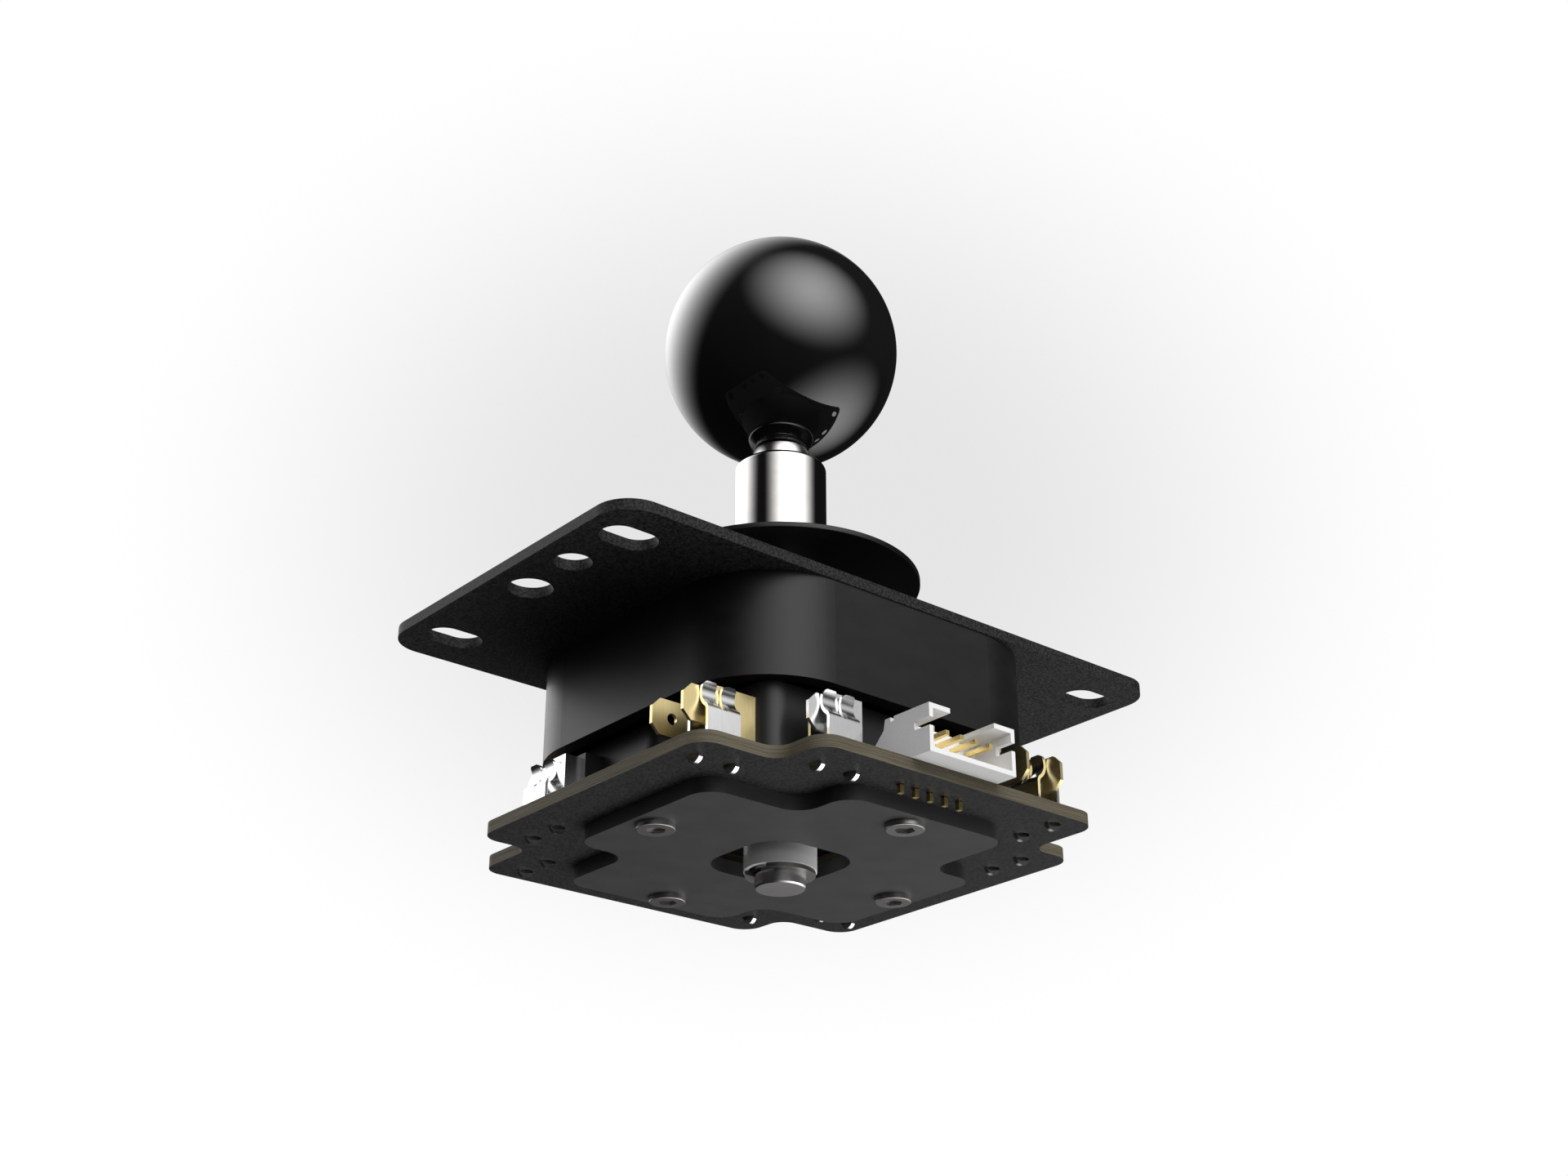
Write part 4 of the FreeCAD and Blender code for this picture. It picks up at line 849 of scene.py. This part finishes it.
class STICK_OT_plate(bpy.types.Operator):
    """Finishes the mounting plate and its countersunk screws"""

    bl_idname = "stick.plate"
    bl_label = "Mounting plate"

    def execute(self, context):
        colours = context.scene.stick_colours
        dress(powder_coat("Powder coat", colours.metalwork), "mounting_plate")
        dress(cast_steel("Black oxide", (0.05, 0.05, 0.052), 0.42), "plate_screws")
        return {"FINISHED"}


class STICK_OT_housing(bpy.types.Operator):
    """Finishes the housing, the pivot and the spring's washer, and makes the spring again in two
    halves
    """

    bl_idname = "stick.housing"
    bl_label = "Housing"

    def execute(self, context):
        colours = context.scene.stick_colours
        dress(moulded_plastic("Housing plastic", colours.housing, 0.42, gloss=0.28), "housing")
        dress(moulded_plastic("Natural bearing plastic", (0.62, 0.61, 0.58), 0.4, worn=1.06),
              "pivot")
        steel = turned_metal("Spring steel", (0.56, 0.55, 0.54), 0.3)
        dress(steel, "spring_washer")
        upper = new_piece("spring_upper_half",
                          coil_mesh("spring_upper_half", "centring_spring", 0.5, 1.0),
                          steel)
        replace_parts(upper, "centring_spring")
        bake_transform(upper)
        lower = new_piece("spring_lower_half",
                          coil_mesh("spring_lower_half", "centring_spring", 0.0, 0.5),
                          steel)
        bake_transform(lower)
        return {"FINISHED"}


class STICK_OT_lever(bpy.types.Operator):
    """Makes the ball top, the shaft, its collar and the dust washer, and finishes the foot"""

    bl_idname = "stick.lever"
    bl_label = "Lever"

    def execute(self, context):
        sizes, colours = context.scene.stick_sizes, context.scene.stick_colours
        steps = sizes.turning_steps

        profile = ball_profile(sizes.ball_radius / MM, steps)
        finish = gloss_black("Ball gloss", colours.ball, 0.035, 0.77)
        ball = new_piece("ball", turned_mesh("ball", profile, steps), finish,
                         "shaft")
        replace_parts(ball, "ball_top")

        finish = turned_metal("Turned shaft steel", (0.70, 0.69, 0.68), 0.24, dull_ends=0.08)
        shaft = new_piece("turned_shaft", turned_mesh("turned_shaft", shaft_profile(), steps),
                          finish, "shaft")
        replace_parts(shaft, "shaft")

        finish = turned_metal("Collar chrome", (0.46, 0.45, 0.44), 0.1, pitch=0.3, groove=0.0006)
        mesh = turned_mesh("polished_collar", collar_profile(), steps, ring=True)
        collar = new_piece("polished_collar", mesh, finish, "collar")
        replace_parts(collar, "shaft_collar")

        profile = washer_profile(sizes.washer_round / MM)
        finish = moulded_plastic("Washer plastic", (0.006, 0.006, 0.006), 0.3, gloss=0.25)
        washer = new_piece("washer_disc", turned_mesh("washer_disc", profile, steps, ring=True),
                           finish, "washer")
        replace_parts(washer, "dust_washer")

        dress(moulded_plastic("Grey bearing plastic", (0.87, 0.87, 0.86), 0.4, worn=1.03),
              "actuator")
        dress(cast_steel("Ring steel", (0.30, 0.29, 0.28), 0.4), "shaft_clip")
        return {"FINISHED"}


class STICK_OT_switches(bpy.types.Operator):
    """Finishes the four lever switches and their tabs"""

    bl_idname = "stick.switches"
    bl_label = "Switches"

    def execute(self, context):
        case = gloss_black("Switch case", (0.013, 0.013, 0.0132), 0.38, 0.27)
        leaf = cast_steel("Leaf steel", (0.62, 0.61, 0.6), 0.32)
        plunger = moulded_plastic("Plunger plastic", (0.42, 0.035, 0.03), 0.4, worn=1.1)
        for side in SIDES:
            dress(case, "switch_case_" + side)
            dress(leaf, "switch_lever_" + side)
            dress(plunger, "switch_button_" + side)
        brass = sheet_metal("Tab brass", (0.72, 0.59, 0.29), stained=(0.58, 0.46, 0.22),
                            glint=(0.84, 0.73, 0.45), shine=0.33)
        dress(brass, "contact_tabs")
        silver = sheet_metal("Tab silver", (0.80, 0.80, 0.80), stained=(0.66, 0.66, 0.66),
                             glint=(0.93, 0.93, 0.92), shine=0.24)
        dress(silver, "common_tabs")
        return {"FINISHED"}


class STICK_OT_clips(bpy.types.Operator):
    """Finishes the spring clips and gives them flat legs through the board"""

    bl_idname = "stick.clips"
    bl_label = "Clips and legs"

    def execute(self, context):
        tin = sheet_metal("Tinned spring sheet", (0.82, 0.82, 0.83), stained=(0.70, 0.70, 0.71),
                          glint=(0.96, 0.96, 0.95), shine=0.2)
        low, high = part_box("circuit_board")
        for name, node in (("sprung_common_clips", "common_clips"),
                           ("sprung_contact_clips", "contact_clips")):
            mesh = cut_copy(name, node, high.z - 0.01 * MM)
            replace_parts(new_piece(name, mesh, tin, "base"), node)
        spots = leg_spots()
        seed = points_mesh("leg_spots", [(x, y, high.z) for x, y in spots])
        leg = cast_steel("Leg steel", (0.86, 0.86, 0.86), 0.2)
        length = high.z - low.z + context.scene.stick_sizes.leg_drop
        mesh = grown_mesh("clip_legs", seed, leg_tree(), {"Length": length, "Finish": leg})
        if len(mesh.polygons) < len(spots) * LEG_FACES:
            raise RuntimeError("the clips have no legs")
        new_piece("clip_legs", mesh, leg, "base")
        return {"FINISHED"}


class STICK_OT_board(bpy.types.Operator):
    """Opens the circuit board's holes, finishes the gate and makes its screws"""

    bl_idname = "stick.board"
    bl_label = "Board and gate"

    def execute(self, context):
        sizes, colours = context.scene.stick_sizes, context.scene.stick_colours
        mesh = drilled_copy("drilled_board", "circuit_board", leg_spots(), sizes.lead_hole)
        board = new_piece("drilled_board", mesh, circuit_board("Circuit board"),
                          "base")
        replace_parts(board, "circuit_board")
        dress(moulded_plastic("Gate plastic", colours.gate, 0.5, texture=0.2, worn=1.15),
              "gate_plate")

        low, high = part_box("gate_screws")
        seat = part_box("gate_plate")[0].z
        out, aside = (high.x - low.x) / 2 - sizes.screw_head, 2 * MM
        seats = [(-out, -aside, seat), (aside, -out, seat), (out, aside, seat),
                 (-aside, out, seat)]
        steel = cast_steel("Gate screw steel", (0.50, 0.49, 0.48), 0.3)
        mesh = grown_mesh("socket_screws", points_mesh("screw_seats", seats), screw_tree(), {
            "Head radius": sizes.screw_head, "Edge": sizes.screw_edge,
            "Head height": seat - low.z, "Shank length": high.z - seat, "Finish": steel})
        if len(mesh.polygons) < len(seats) * SCREW_FACES:
            raise RuntimeError("the gate's screws are not whole")
        screws = new_piece("socket_screws", mesh, steel, "base")
        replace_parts(screws, "gate_screws")
        return {"FINISHED"}


class STICK_OT_connector(bpy.types.Operator):
    """Finishes the wire connector and its pins"""

    bl_idname = "stick.connector"
    bl_label = "Connector"

    def execute(self, context):
        dress(white_nylon("White nylon", context.scene.stick_colours.connector), "plug_housing")
        gold = sheet_metal("Pin gold", (0.90, 0.68, 0.26), stained=(0.62, 0.42, 0.14),
                           glint=(1.0, 0.86, 0.5), shine=0.26)
        dress(gold, "plug_pins")
        return {"FINISHED"}


class STICK_PT_panel(bpy.types.Panel):
    """Lists the settings and the operators of the stick"""

    bl_idname = "STICK_PT_panel"
    bl_label = "Arcade stick"
    bl_space_type = "VIEW_3D"
    bl_region_type = "UI"
    bl_category = "Arcade stick"

    def draw(self, context):
        for group in (context.scene.stick_sizes, context.scene.stick_colours):
            for key in group.__annotations__:
                self.layout.prop(group, key)
        for operator in OPERATORS:
            self.layout.operator(operator.bl_idname)


OPERATORS = (STICK_OT_stage, STICK_OT_plate, STICK_OT_housing, STICK_OT_lever,
             STICK_OT_switches, STICK_OT_clips, STICK_OT_board, STICK_OT_connector)
CLASSES = (StickSizes, StickColours) + OPERATORS + (STICK_PT_panel,)


def register():
    for item in CLASSES:
        bpy.utils.register_class(item)
    bpy.types.Scene.stick_sizes = PointerProperty(type=StickSizes)
    bpy.types.Scene.stick_colours = PointerProperty(type=StickColours)


def unregister():
    del bpy.types.Scene.stick_colours
    del bpy.types.Scene.stick_sizes
    for item in reversed(CLASSES):
        bpy.utils.unregister_class(item)


def main():
    register()
    for operator in (bpy.ops.stick.stage, bpy.ops.stick.plate, bpy.ops.stick.housing,
                     bpy.ops.stick.lever, bpy.ops.stick.switches, bpy.ops.stick.clips,
                     bpy.ops.stick.board, bpy.ops.stick.connector):
        operator()


if __name__ == "__main__":
    main()
